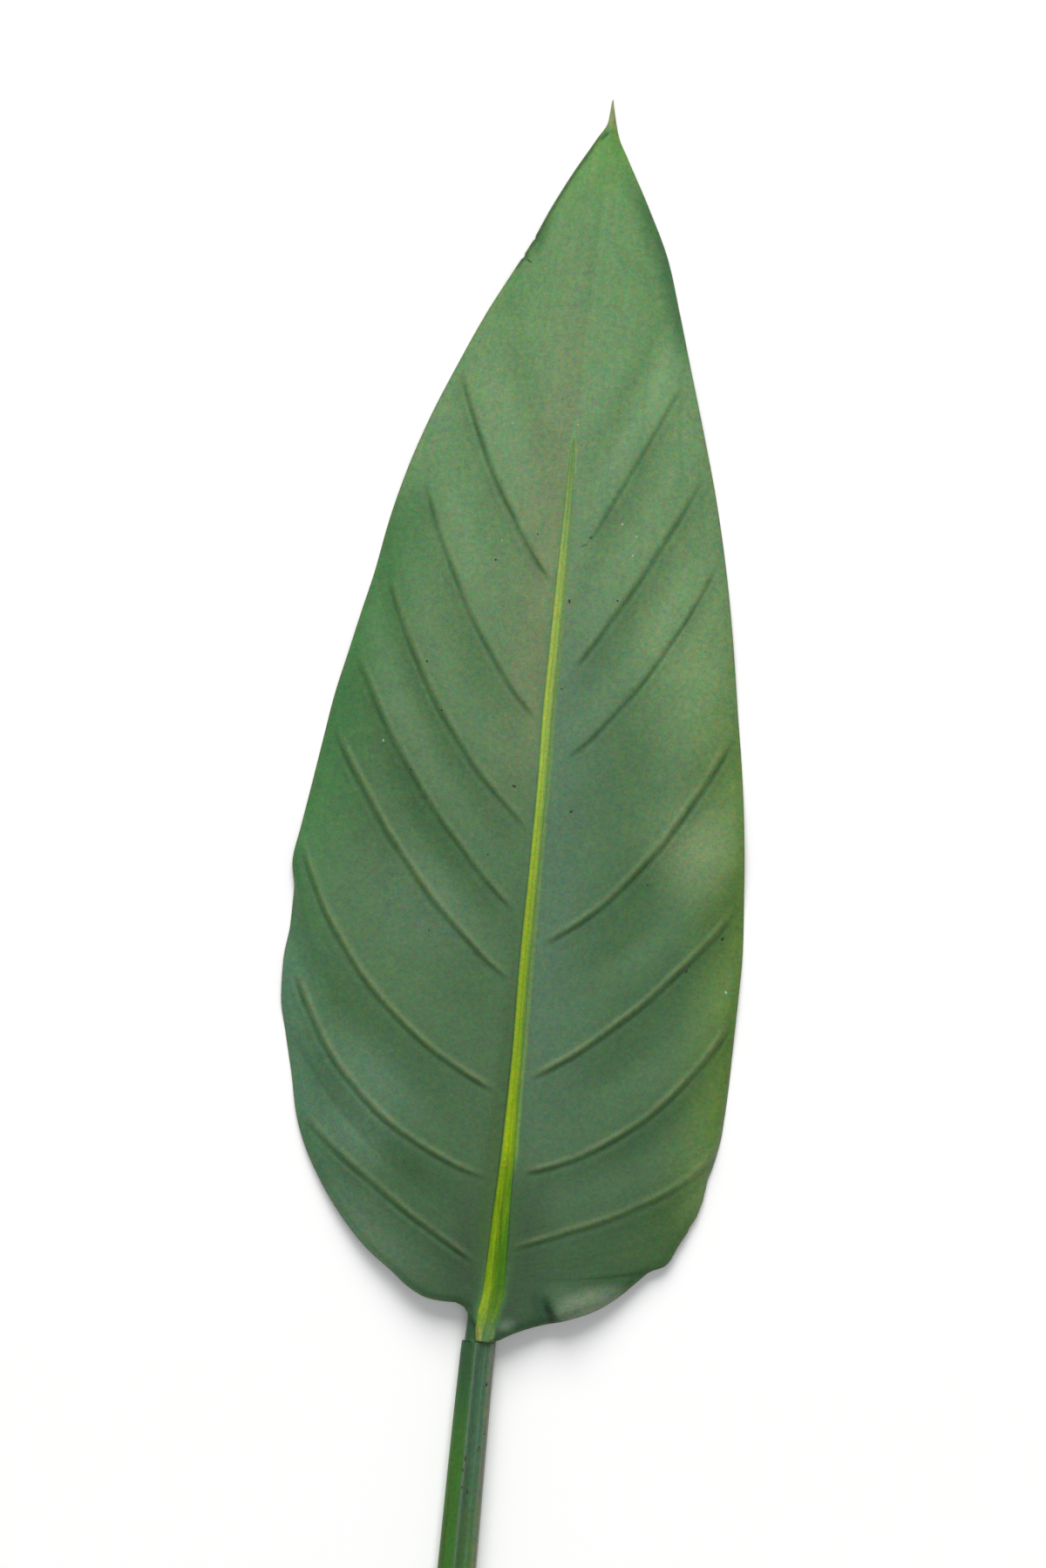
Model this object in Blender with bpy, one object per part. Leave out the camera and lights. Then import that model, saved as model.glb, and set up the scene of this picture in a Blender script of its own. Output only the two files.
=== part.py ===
"""Bird of paradise leaf, cut with its stalk and lying face up on a flat surface.

Metres, +Z up. The leaf points along +Y and the surface is z = 0. The origin is on that surface,
under the joint of stalk and blade. Lists below are in millimetres and are scaled once, in MM.

A point of either half of the blade is given by its ray and by how far along that ray it lies.
A ray runs from the midrib to the margin, as the veins do. Its root is the height on the midrib
where it starts, and its run is the way round the margin, from the blade's base, where it ends.
"""

import bisect
import math

import bmesh
import bpy
import numpy as np

MM = 0.001

# The blade's own size.
BLADE_LENGTH = 400.5
BLADE_THICKNESS = 0.8
CLEARANCE = 0.3

# The cut stalk below the blade, and the keel that carries on from it under the midrib.
STALK_LENGTH = 240.0
KEEL_LENGTH = 330.0
STALK_STATIONS = 17
KEEL_STATIONS = 30
KEEL_CROWDING = 1.25
UNDERSIDE_POINTS = 15
STEP_AT_JOINT = 0.08

# Half-width of stalk and keel: distance along the leaf, half-width.
STALK_HALF_WIDTH = [
    (-240, 7.1), (-150, 6.7), (-72, 6.2), (0, 5.5), (10, 5.4), (30, 5.0), (60, 4.2),
    (120, 3.2), (200, 2.2), (290, 1.4), (330, 0.9),
]
# Sideways place of the stalk's and keel's middle: distance along the leaf, x.
STALK_MIDDLE = [
    (-240, 3.8), (-150, 2.0), (-72, 0.9), (0, 0.1), (10, 0.3), (30, 1.6), (60, 2.3),
    (96, 1.8), (152, 1.1), (209, 0.2), (265, -0.3), (292, -1.1), (330, -0.5),
]
# Height of the underside and of the top. Shoulders, where it is widest, lie between the two.
STALK_UNDERSIDE = [
    (-240, 0), (9, 0), (40, 2.3), (100, 6.6), (160, 9.3), (220, 9.9), (280, 8.2), (330, 4.9),
]
STALK_TOP = [(-240, 11.6), (-150, 11.0), (-72, 10.4), (0, 9.7)]
STALK_SHOULDER = 0.52
KEEL_SHOULDER = 0.7
KEEL_UNDER_BLADE = 0.15
# The round underside is a little square, and what would reach below its flat spot is cut level.
UNDERSIDE_FULLNESS = 0.85
FLAT_SPOT_DEPTH = 1.05

# Rise of the upper side from shoulder to top, right to left: place across, share of the rise.
STALK_CREST = [
    (0.9, 0.62), (0.74, 0.7), (0.45, 0.58), (0.15, 0.72), (-0.12, 1.0), (-0.34, 0.8),
    (-0.66, 0.5), (-0.9, 0.24),
]
KEEL_CREST = [
    (0.9, 0.6), (0.74, 0.9), (0.45, 1.0), (0.15, 1.0), (-0.12, 1.0), (-0.34, 1.0),
    (-0.66, 0.95), (-0.9, 0.6),
]

# The pale strip along the upper side of the midrib: distance along, middle, half-width.
STRIP = [
    (0, 2.0, 2.3), (6, 1.6, 3.3), (18, 2.9, 3.5), (28, 2.9, 3.3), (40, 2.7, 3.0),
    (57, 2.4, 2.1), (96, 1.8, 1.9), (124, 1.4, 1.75), (152, 1.1, 1.5), (180, 0.8, 1.4),
    (209, 0.2, 1.35), (237, 0.0, 1.35), (265, -0.3, 1.0), (287, -1.0, 0.5),
    (292, -1.1, 0.3), (338, -0.4, 0.3), (400.5, 0.0, 0.3),
]
STRIP_LENGTH = 287.5
STRIP_STATIONS = 73
SLOT_LENGTH = 292.0
SLOT_TAPER = 5.0
# The strip's section, left to right over the top: place across, height over the blade.
STRIP_CREST = [
    (-1.0, 0.0), (-0.8, 0.35), (-0.35, 0.45), (-0.05, 0.25), (0.15, -0.1), (0.5, 0.0),
    (0.82, 0.2), (1.0, 0.0),
]
FULL_CREST_FROM = 1.5

# Height of the blade's upper face along the midrib, the leaf's long gentle arch.
SPINE_HEIGHT = [
    (0, 9.7), (40, 11.2), (100, 13.5), (160, 14.5), (220, 13.9), (280, 11.2), (330, 7.4),
    (370, 3.8), (400.5, 1.3),
]

# The margins from the blade's base to its tip: x, y.
LEFT_MARGIN = [
    (-5.5, 9.8), (-9, 12.0), (-14, 12.4), (-18.5, 13), (-24, 15.5), (-30, 20), (-39, 26.5),
    (-47, 34.5), (-55.5, 45.5), (-62.5, 57.5), (-66, 66.5), (-69, 79.5), (-72.5, 93),
    (-75, 104), (-75.5, 116), (-74.5, 127.5), (-74.5, 138), (-76, 147.5), (-74.5, 158.5),
    (-72.5, 172.5), (-70.5, 187), (-68.5, 201), (-65.5, 215.5), (-62.5, 230), (-60, 241.5),
    (-57, 259), (-53, 276), (-47.5, 293.5), (-40.5, 311.5), (-33, 329), (-27, 341),
    (-20.5, 353), (-16.5, 364.5), (-10, 376.5), (-3.5, 388.5), (-0.3, 394.5), (0, 400.5),
]
RIGHT_MARGIN = [
    (6.3, 1.8), (11, 4.5), (18, 7.5), (26, 10), (35.5, 14), (42.5, 19), (49, 25.5),
    (52, 28.5), (57, 31), (60.5, 38), (65, 47), (67.5, 58.5), (70.5, 75.5), (71, 92.5),
    (71, 109.5), (71, 126.5), (69, 154.5), (66.5, 176.5), (64, 193), (61, 209.5), (57, 232),
    (52.5, 254), (47, 276), (40.5, 297.5), (33.5, 319.5), (28.5, 335.5), (23, 352),
    (15, 368), (6, 384), (3, 389.5), (1.5, 394.5), (0, 400.5),
]
# Height of the upper face at the margin, which waves and touches down: run, height.
LEFT_MARGIN_HEIGHT = [
    (0, 9.4), (12, 8.6), (30, 6.8), (60, 3.6), (90, 1.6), (112, 0.8), (130, 2.1), (150, 1.1),
    (169, 3.2), (190, 1.4), (215, 0.8), (240, 2.2), (270, 0.9), (300, 2.0), (340, 1.0),
    (380, 2.4), (410, 1.7), (436, 1.3),
]
RIGHT_MARGIN_HEIGHT = [
    (0, 9.5), (10, 8.4), (18, 5.4), (34, 6.8), (58, 3.0), (68, 4.4), (92, 1.7), (116, 0.8),
    (148, 2.3), (172, 0.8), (196, 3.4), (228, 1.0), (262, 2.2), (300, 0.9), (340, 2.2),
    (380, 1.2), (410, 1.8), (440, 1.3),
]

# The veins, base to tip: root, run, place of the bend along the chord, bow as a share of it.
LEFT_VEINS = [
    (23, 89, 0.48, 0.075), (52, 141, 0.43, 0.28), (77.5, 177, 0.42, 0.23),
    (114, 218.5, 0.37, 0.16), (131.5, 244, 0.46, 0.12), (163.5, 274.5, 0.38, 0.165),
    (198, 306, 0.38, 0.115), (242.5, 339, 0.51, 0.125),
]
RIGHT_VEINS = [
    (31.5, 103, 0.78, 0.17), (55, 145, 0.42, 0.255), (83, 182.5, 0.46, 0.12),
    (127, 236.5, 0.33, 0.175), (181.5, 291.5, 0.38, 0.105), (210.5, 323, 0.46, 0.095),
    (244.5, 352, 0.45, 0.01),
]
# Rays of the base and of the tip, which have no vein.
LEFT_BASE_RAYS = [
    (5.5, 0, 0.5, 0.0), (12, 4.2, 0.5, 0.0), (15.5, 9.5, 0.5, 0.0), (17.5, 22, 0.5, 0.0),
    (19, 50, 0.5, 0.02),
]
RIGHT_BASE_RAYS = [
    (1.0, 0, 0.5, 0.0), (5, 6, 0.5, 0.0), (10, 16, 0.5, 0.0), (16, 34, 0.5, 0.03),
    (22, 62, 0.6, 0.08),
]
LEFT_TIP_RAYS = [(292, 374, 0.5, 0.08), (345, 405, 0.5, 0.05), (385, 425, 0.5, 0.0)]
RIGHT_TIP_RAYS = [(292, 384, 0.5, 0.04), (345, 412, 0.5, 0.03), (385, 431, 0.5, 0.0)]
TIP_ROOTS = [292, 301, 311, 322, 333, 344, 354, 364, 373, 381, 387, 391.5, 395.5]

# Relief of the blade: a rib on each vein, and panels that sag between the veins.
RIB_HEIGHT = 0.65
RIB_HALF_WIDTH = 1.5
RIB_STARTS = 0.05
RIB_ENDS = 0.95
RIB_FADE = 0.1
PANEL_SAG = 1.1
FULL_SAG_FROM = 60.0
DROOP_POWER = 1.8
PANEL_ROWS = (0.28, 0.52, 0.76)
SLOT_END_ROWS = (263, 277, 287)
# Places along a ray, midrib to margin, where the blade has a column of points.
COLUMNS = (0, 0.035, 0.09, 0.16, 0.25, 0.34, 0.44, 0.54, 0.64, 0.74, 0.83, 0.91, 0.96, 1.0)


def clear_scene() -> None:
    for thing in list(bpy.data.objects):
        bpy.data.objects.remove(thing, do_unlink=True)


def finish(name: str, colour: tuple, roughness: float) -> bpy.types.Material:
    """A leaf skin of one colour."""
    skin = bpy.data.materials.new(name)
    skin.use_nodes = True
    shader = skin.node_tree.nodes["Principled BSDF"]
    shader.inputs["Base Color"].default_value = (*colour, 1.0)
    shader.inputs["Roughness"].default_value = roughness
    shader.inputs["Metallic"].default_value = 0.0
    return skin


def through(points):
    """A smooth function through the points that never swings past them.

    The first column is the place along, and the others are the values there.
    """
    table = np.array(points, dtype=float)
    at, values = table[:, 0], table[:, 1:]
    gaps = np.diff(at)[:, None]
    slopes = np.diff(values, axis=0) / gaps
    tangents = np.zeros_like(values)
    tangents[0], tangents[-1] = slopes[0], slopes[-1]
    before, after = slopes[:-1], slopes[1:]
    same_way = before * after > 0
    weight_before = 2 * gaps[1:] + gaps[:-1]
    weight_after = gaps[1:] + 2 * gaps[:-1]
    safe_before = np.where(same_way, before, 1.0)
    safe_after = np.where(same_way, after, 1.0)
    mean = (weight_before + weight_after) / (weight_before / safe_before + weight_after / safe_after)
    tangents[1:-1] = np.where(same_way, mean, 0.0)

    def value(place: float):
        place = min(max(place, at[0]), at[-1])
        i = min(bisect.bisect_right(at, place) - 1, len(at) - 2)
        gap = at[i + 1] - at[i]
        t = (place - at[i]) / gap
        found = (
            values[i] * (1 + 2 * t) * (1 - t) ** 2
            + values[i + 1] * t * t * (3 - 2 * t)
            + gap * (tangents[i] * t * (1 - t) ** 2 - tangents[i + 1] * t * t * (1 - t))
        )
        return found if len(found) > 1 else float(found[0])

    return value


def along(points):
    """A smooth path through x, y points, by the distance along them, and its whole length."""
    steps = [math.dist(a, b) for a, b in zip(points, points[1:])]
    runs = np.concatenate([[0.0], np.cumsum(steps)])
    return through([(run, *point) for run, point in zip(runs, points)]), float(runs[-1])


def ease(share: float) -> float:
    """A soft step from 0 to 1."""
    share = min(max(share, 0.0), 1.0)
    return share * share * (3 - 2 * share)


spine_height = through(SPINE_HEIGHT)
strip = through(STRIP)


def slot_half_width(root: float) -> float:
    """Half the gap that the blade leaves for the strip, closed at the slot's end."""
    if root <= SLOT_LENGTH - SLOT_TAPER:
        return float(strip(root)[1]) + CLEARANCE
    widest = float(strip(SLOT_LENGTH - SLOT_TAPER)[1]) + CLEARANCE
    return widest * max(0.0, SLOT_LENGTH - root) / SLOT_TAPER


class Half:
    """One half of the blade: side is -1 on the left and 1 on the right."""

    def __init__(self, side, margin, heights, base_rays, veins, tip_rays):
        self.side = side
        self.margin, self.margin_length = along(margin)
        self.margin_height = through(heights)
        self.vein_roots = [vein[0] for vein in veins]
        last_ray = (BLADE_LENGTH, self.margin_length, 0.5, 0.0)
        self.rays = through([*base_rays, *veins, *tip_rays, last_ray])
        self.base_roots = [ray[0] for ray in base_rays]

    def roots(self) -> list:
        """Roots of the half's rows up to the slot's end: three to a rib, and some to a panel."""
        ribs = self.vein_roots
        rows = []
        for base, following in zip(self.base_roots, [*self.base_roots[1:], ribs[0]]):
            rows += [base, (base + following) / 2]
        for rib in ribs:
            rows += [rib - RIB_HALF_WIDTH, rib, rib + RIB_HALF_WIDTH]
        for rib, following in zip(ribs, ribs[1:]):
            rows += [rib + share * (following - rib) for share in PANEL_ROWS]
        return sorted([*rows, *SLOT_END_ROWS])

    def relief(self, root: float, share: float, length: float) -> float:
        """How far ribs rise and panels sag at this place of a ray of this length."""
        ribs = [self.base_roots[0], *self.vein_roots, SLOT_LENGTH]
        i = min(max(bisect.bisect_right(ribs, root) - 1, 0), len(ribs) - 2)
        across = min(max((root - ribs[i]) / (ribs[i + 1] - ribs[i]), 0.0), 1.0)
        nearest = min(self.vein_roots, key=lambda rib: abs(rib - root))
        rib = max(0.0, 1 - abs(root - nearest) / RIB_HALF_WIDTH)
        rib *= ease((share - RIB_STARTS) / RIB_FADE) * ease((RIB_ENDS - share) / RIB_FADE)
        sag = math.sin(math.pi * across) ** 2 * math.sin(math.pi * share)
        return RIB_HEIGHT * rib - PANEL_SAG * min(1.0, length / FULL_SAG_FROM) * sag

    def point(self, root: float, share: float) -> tuple:
        """A point of the upper face."""
        run, bend, bow = self.rays(root)
        middle = float(strip(root)[0])
        start = np.array([middle + self.side * slot_half_width(root), root])
        end = np.array(self.margin(run))
        chord = end - start
        outwards = np.array([-chord[1], chord[0]]) * -self.side
        control = start + bend * chord + bow * outwards
        flat = (1 - share) ** 2 * start + 2 * share * (1 - share) * control + share**2 * end
        droop = share**DROOP_POWER
        height = spine_height(root) * (1 - droop) + self.margin_height(run) * droop
        relief = self.relief(root, share, float(np.hypot(*chord)))
        return float(flat[0]), float(flat[1]), height + relief


def split(a, b, c, d) -> list:
    """Two triangles from a quad, cut along its shorter diagonal."""
    if (a.co - c.co).length <= (b.co - d.co).length:
        return [(a, b, c), (a, c, d)]
    return [(a, b, d), (b, c, d)]


def blade() -> bpy.types.Object:
    """The green blade: both halves in one thin sheet, slit along the midrib."""
    halves = [
        Half(-1, LEFT_MARGIN, LEFT_MARGIN_HEIGHT, LEFT_BASE_RAYS, LEFT_VEINS, LEFT_TIP_RAYS),
        Half(1, RIGHT_MARGIN, RIGHT_MARGIN_HEIGHT, RIGHT_BASE_RAYS, RIGHT_VEINS, RIGHT_TIP_RAYS),
    ]
    sheet = bmesh.new()

    def corner(half, root, share):
        x, y, z = half.point(root, share)
        return sheet.verts.new((x * MM, y * MM, (z - BLADE_THICKNESS) * MM))

    spine = [corner(halves[0], root, 0.0) for root in TIP_ROOTS]
    tip_underside = spine_height(BLADE_LENGTH) - BLADE_THICKNESS
    tip = sheet.verts.new((0.0, BLADE_LENGTH * MM, tip_underside * MM))
    for half in halves:
        rows = [[corner(half, root, share) for share in COLUMNS] for root in half.roots()]
        for root, middle in zip(TIP_ROOTS, spine):
            rows.append([middle] + [corner(half, root, share) for share in COLUMNS[1:]])
        cells = []
        for lower, upper in zip(rows, rows[1:]):
            for i in range(len(COLUMNS) - 1):
                cells += split(lower[i], lower[i + 1], upper[i + 1], upper[i])
        for inner, outer in zip(rows[-1], rows[-1][1:]):
            cells.append((inner, outer, tip))
        for cell in cells:
            sheet.faces.new(cell if half.side > 0 else cell[::-1])

    grown = bmesh.ops.extrude_face_region(sheet, geom=sheet.faces[:], use_keep_orig=True)
    raised = [item for item in grown["geom"] if isinstance(item, bmesh.types.BMVert)]
    bmesh.ops.translate(sheet, vec=(0, 0, BLADE_THICKNESS * MM), verts=raised)
    bmesh.ops.recalc_face_normals(sheet, faces=sheet.faces[:])
    return named(sheet, "blade", finish("blade green", (0.072, 0.178, 0.080), 0.5))


def loft(rings) -> bmesh.types.BMesh:
    """A closed solid through rings of as many points each, with a flat cap on each end."""
    solid = bmesh.new()
    loops = []
    for ring in rings:
        loops.append([solid.verts.new(tuple(MM * value for value in point)) for point in ring])
    count = len(rings[0])
    for lower, upper in zip(loops, loops[1:]):
        for i in range(count):
            j = (i + 1) % count
            solid.faces.new((lower[i], lower[j], upper[j], upper[i]))
    solid.faces.new(loops[0])
    solid.faces.new(loops[-1])
    bmesh.ops.recalc_face_normals(solid, faces=solid.faces[:])
    return solid


def named(solid: bmesh.types.BMesh, name: str, skin: bpy.types.Material) -> bpy.types.Object:
    """Turns a finished solid into the named object, smooth but for its edges."""
    mesh = bpy.data.meshes.new(name)
    solid.to_mesh(mesh)
    solid.free()
    mesh.shade_smooth()
    mesh.set_sharp_from_angle(angle=math.radians(40))
    mesh.materials.append(skin)
    piece = bpy.data.objects.new(name, mesh)
    bpy.context.scene.collection.objects.link(piece)
    return piece


def stalk_section(y: float, top: float, shoulder_share: float, crest: list) -> list:
    """The ring at this distance along: a rounded underside with a flat spot, and the crest."""
    middle = through(STALK_MIDDLE)(y)
    half_width = through(STALK_HALF_WIDTH)(y)
    bottom = through(STALK_UNDERSIDE)(y)
    shoulder = bottom + shoulder_share * (top - bottom)
    ring = []
    for i in range(UNDERSIDE_POINTS):
        turn = math.pi * (1 + i / (UNDERSIDE_POINTS - 1))
        sideways = math.copysign(abs(math.cos(turn)) ** UNDERSIDE_FULLNESS, math.cos(turn))
        fall = FLAT_SPOT_DEPTH * abs(math.sin(turn)) ** UNDERSIDE_FULLNESS
        z = max(bottom, shoulder - (shoulder - bottom) * fall)
        ring.append((middle + half_width * sideways, y, z))
    for across, rise in crest:
        ring.append((middle + half_width * across, y, shoulder + rise * (top - shoulder)))
    return ring


def stalk() -> bpy.types.Object:
    """The stalk with the keel that it sends up under the blade, as one body."""
    stalk_top = through(STALK_TOP)
    rings = []
    for i in range(STALK_STATIONS):
        y = -STALK_LENGTH + i * (STALK_LENGTH - CLEARANCE) / (STALK_STATIONS - 1)
        rings.append(stalk_section(y, stalk_top(y), STALK_SHOULDER, STALK_CREST))
    start = -CLEARANCE + STEP_AT_JOINT
    for i in range(KEEL_STATIONS):
        y = start + (KEEL_LENGTH - start) * (i / (KEEL_STATIONS - 1)) ** KEEL_CROWDING
        top = spine_height(y) - BLADE_THICKNESS - CLEARANCE - KEEL_UNDER_BLADE
        rings.append(stalk_section(y, top, KEEL_SHOULDER, KEEL_CREST))
    return named(loft(rings), "stalk", finish("stalk blue-green", (0.080, 0.150, 0.105), 0.5))


def midrib() -> bpy.types.Object:
    """The pale strip that runs up the middle of the blade, lying on the keel."""
    rings = []
    for i in range(STRIP_STATIONS):
        y = STRIP_LENGTH * i / (STRIP_STATIONS - 1)
        middle, half_width = strip(y)
        level = spine_height(y)
        scale = min(1.0, half_width / FULL_CREST_FROM)
        ring = [
            (middle + half_width * across, y, level + rise * scale) for across, rise in STRIP_CREST
        ]
        under = level - BLADE_THICKNESS
        ring += [(middle + half_width, y, under), (middle - half_width, y, under)]
        rings.append(ring)
    return named(loft(rings), "midrib", finish("midrib yellow-green", (0.300, 0.420, 0.035), 0.45))


clear_scene()
blade()
stalk()
midrib()
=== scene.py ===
"""Bird of paradise leaf, cut with its stalk and lying face up: its finished look.

Lists of sizes are in millimetres, and MM turns them into metres where a mesh is made. The leaf
points along +Y and lies on the plane z = 0. Colours are written as screen values from 0 to 255.

A point of either half of the blade is given by its ray and by how far along that ray it lies.
A ray runs from the midrib to the margin, as the veins do. Its root is the height on the midrib
where it starts, and its run is the way round the margin, from the blade's base, where it ends.
"""

import logging
import math
from collections.abc import Mapping, Sequence
from dataclasses import dataclass, field
from enum import Enum, IntEnum
from functools import partial, reduce

import bpy
import numpy as np
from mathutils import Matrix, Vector


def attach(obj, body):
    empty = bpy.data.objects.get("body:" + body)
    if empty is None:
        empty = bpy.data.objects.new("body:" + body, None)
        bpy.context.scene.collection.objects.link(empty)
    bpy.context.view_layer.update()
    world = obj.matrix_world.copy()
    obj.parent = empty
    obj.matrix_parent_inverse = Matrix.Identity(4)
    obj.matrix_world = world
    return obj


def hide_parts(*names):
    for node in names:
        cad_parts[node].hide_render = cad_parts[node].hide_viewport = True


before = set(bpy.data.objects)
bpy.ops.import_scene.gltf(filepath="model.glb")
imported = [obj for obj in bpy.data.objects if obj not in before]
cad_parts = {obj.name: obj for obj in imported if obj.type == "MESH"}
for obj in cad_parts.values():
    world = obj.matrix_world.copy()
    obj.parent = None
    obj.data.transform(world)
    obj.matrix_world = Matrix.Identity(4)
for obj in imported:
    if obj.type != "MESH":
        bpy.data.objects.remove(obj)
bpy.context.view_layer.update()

LOG = logging.getLogger("leaf")
MM = 0.001
BODY = "root"

Points = Sequence[tuple[float, ...]]
Triple = tuple[float, float, float]
Colour = Triple
Stops = tuple[tuple[float, Colour], ...]
Source = object
Socket = bpy.types.NodeSocket
Node = bpy.types.Node
Outputs = bpy.types.NodeOutputs
Tree = bpy.types.NodeTree
Material = bpy.types.Material
Object = bpy.types.Object

# Sizes of the whole leaf.
BLADE_LENGTH = 400.5
BLADE_THICKNESS = 0.8
# How much the blade thins towards its margin, and from how far away.
EDGE_THINNING = 0.4
EDGE_REACH = 2.6
STALK_LENGTH = 240.0
KEEL_LENGTH = 330.0

# Half-width of stalk and keel: distance along the leaf, half-width.
STALK_HALF_WIDTH = [
    (-240, 7.1), (-150, 6.7), (-72, 6.2), (0, 5.5), (10, 5.4), (30, 5.0), (60, 4.2),
    (120, 3.2), (200, 2.2), (290, 1.4), (330, 0.9),
]
# Sideways place of the stalk's and keel's middle: distance along the leaf, x.
STALK_MIDDLE = [
    (-240, 3.8), (-150, 2.0), (-72, 0.9), (0, 0.1), (10, 0.3), (30, 1.6), (60, 2.3),
    (96, 1.8), (152, 1.1), (209, 0.2), (265, -0.3), (292, -1.1), (330, -0.5),
]
# Heights of the stalk's underside and top: distance along the leaf, height.
STALK_UNDERSIDE = [
    (-240, 0), (9, 0), (40, 2.3), (100, 6.6), (160, 9.3), (220, 9.9), (280, 8.2), (330, 4.9),
]
STALK_TOP = [(-240, 11.6), (-150, 11.0), (-72, 10.4), (0, 9.7)]
# Where the widest place lies, as a share of the height.
STALK_SHOULDER = 0.52
KEEL_SHOULDER = 0.7
KEEL_BELOW_SPINE = 1.25
UNDERSIDE_FULLNESS = 0.85
FLAT_SPOT_DEPTH = 1.05

# Rise of the upper side from shoulder to top, left to right: place across, share of the rise.
STALK_CREST = [
    (-1.0, 0.0), (-0.9, 0.24), (-0.66, 0.5), (-0.34, 0.8), (-0.12, 1.0), (0.15, 0.72),
    (0.45, 0.58), (0.74, 0.7), (0.9, 0.62), (1.0, 0.0),
]
KEEL_CREST = [
    (-1.0, 0.0), (-0.9, 0.6), (-0.66, 0.95), (-0.34, 1.0), (-0.12, 1.0), (0.15, 1.0),
    (0.45, 1.0), (0.74, 0.9), (0.9, 0.6), (1.0, 0.0),
]

# The pale strip along the upper side of the midrib: distance along, middle, half-width.
STRIP = [
    (0, 1.2, 1.9), (4, 1.2, 2.35), (10, 1.9, 3.1), (18, 3.0, 3.25), (28, 2.9, 2.9), (40, 2.8, 2.6),
    (57, 2.8, 2.15), (70, 2.6, 1.85), (96, 2.2, 1.55), (124, 1.5, 1.6), (152, 1.2, 1.45),
    (180, 0.8, 1.4), (209, 0.0, 1.5), (237, -0.1, 1.5), (265, -0.35, 1.3), (287, -0.8, 0.8),
    (292, -0.9, 0.4), (338, -0.4, 0.3), (400.5, 0.0, 0.3),
]
SLOT_LENGTH = 292.0
SLOT_TAPER = 5.0
# Rise of the strip's upper side, left to right: place across, height.
STRIP_CREST = [
    (-1.0, 0.0), (-0.8, 0.35), (-0.35, 0.45), (-0.05, 0.28), (0.2, -0.05), (0.5, -0.05),
    (0.82, 0.08), (1.0, 0.0),
]
FULL_CREST_FROM = 1.5

# Height of the blade's upper face along the midrib, the leaf's long gentle arch.
SPINE_HEIGHT = [
    (0, 9.7), (40, 11.2), (100, 13.5), (160, 14.5), (220, 13.9), (280, 11.2), (330, 7.4),
    (370, 3.8), (400.5, 1.3),
]

# The margins from the blade's base to its tip: x, y.
LEFT_MARGIN = [
    (-5.8, 11.3), (-9, 12.5), (-13, 12.4), (-17.5, 12.8), (-24, 15.5), (-30, 20), (-39, 26.5),
    (-47, 34.5), (-55.5, 45.5), (-62.5, 57.5), (-66, 66.5), (-69, 79.5), (-72.5, 93),
    (-75, 104), (-75.5, 116), (-74.5, 127.5), (-74.5, 138), (-76, 147.5), (-74.5, 158.5),
    (-72.5, 172.5), (-70.5, 187), (-68.5, 201), (-65.5, 215.5), (-62.5, 230), (-60, 241.5),
    (-57, 259), (-53, 276), (-47.5, 293.5), (-40.5, 311.5), (-33, 329), (-27, 341),
    (-21.0, 353), (-16.2, 364.3), (-10.3, 376.5), (-3.7, 388.5), (-0.7, 394.3), (-0.2, 401.2),
]
RIGHT_MARGIN = [
    (6.3, 1.8), (11, 4.5), (18, 7.5), (26, 10), (35.5, 14), (42.5, 19), (49, 25.5),
    (52, 28.5), (57, 31), (60.5, 38), (65, 47), (67.5, 58.5), (70.5, 75.5), (71, 92.5),
    (71, 109.5), (71, 126.5), (69, 154.5), (66.5, 176.5), (64, 193), (61, 209.5), (57, 232),
    (52.5, 254), (47, 276), (40.5, 297.5), (33.5, 319.5), (28.5, 335.5), (23, 352),
    (15, 368), (6, 384), (3, 389.5), (1.5, 394.5), (0, 400.5),
]
# Height of the upper face at the margin, which waves and touches down: run, height.
LEFT_MARGIN_HEIGHT = [
    (0, 9.4), (12, 8.6), (30, 6.8), (60, 3.6), (90, 1.6), (112, 0.8), (130, 2.1), (150, 1.1),
    (169, 3.2), (190, 1.4), (215, 0.8), (240, 2.2), (270, 0.9), (300, 2.0), (340, 1.0),
    (380, 2.4), (410, 1.7), (436, 1.3),
]
RIGHT_MARGIN_HEIGHT = [
    (0, 9.5), (10, 8.4), (18, 6.0), (34, 6.4), (58, 4.0), (68, 3.8), (92, 1.8), (116, 0.8),
    (148, 2.3), (172, 0.8), (196, 3.4), (228, 1.0), (262, 2.2), (300, 0.9), (340, 2.2),
    (380, 1.2), (410, 1.8), (440, 1.3),
]
# Rays of the base and of the tip, which have no vein: root, run, place of the bend, bow.
LEFT_BASE_RAYS = [
    (5.5, 0, 0.5, 0.0), (10.4, 0.5, 0.5, 0.0), (12.2, 3.4, 0.5, 0.0), (15.5, 9.5, 0.5, 0.0),
    (17.5, 22, 0.5, 0.0), (19, 50, 0.5, 0.02),
]
RIGHT_BASE_RAYS = [
    (1.0, 0, 0.5, 0.0), (5, 6, 0.5, 0.0), (10, 16, 0.5, 0.0), (16, 34, 0.5, 0.03),
    (23, 62, 0.6, 0.08),
]
LEFT_TIP_RAYS = [(292, 374, 0.5, 0.08), (345, 405, 0.5, 0.05), (385, 425, 0.5, 0.0)]
RIGHT_TIP_RAYS = [(292, 384, 0.5, 0.04), (345, 412, 0.5, 0.03), (385, 431, 0.5, 0.0)]

# How far the panels between the veins sag, the ray length from which they do so in full, and
# how late the blade droops on its way to the margin.
PANEL_SAG = 1.1
FULL_SAG_FROM = 60.0
DROOP_POWER = 1.8


class Side(IntEnum):
    """A half of the blade, by the sign of its x."""

    LEFT = -1
    RIGHT = 1


class Slot(Enum):
    """Material slots of the record that a piece may take."""

    BLADE = "blade"
    MIDRIB = "midrib"
    STALK = "stalk"


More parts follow.
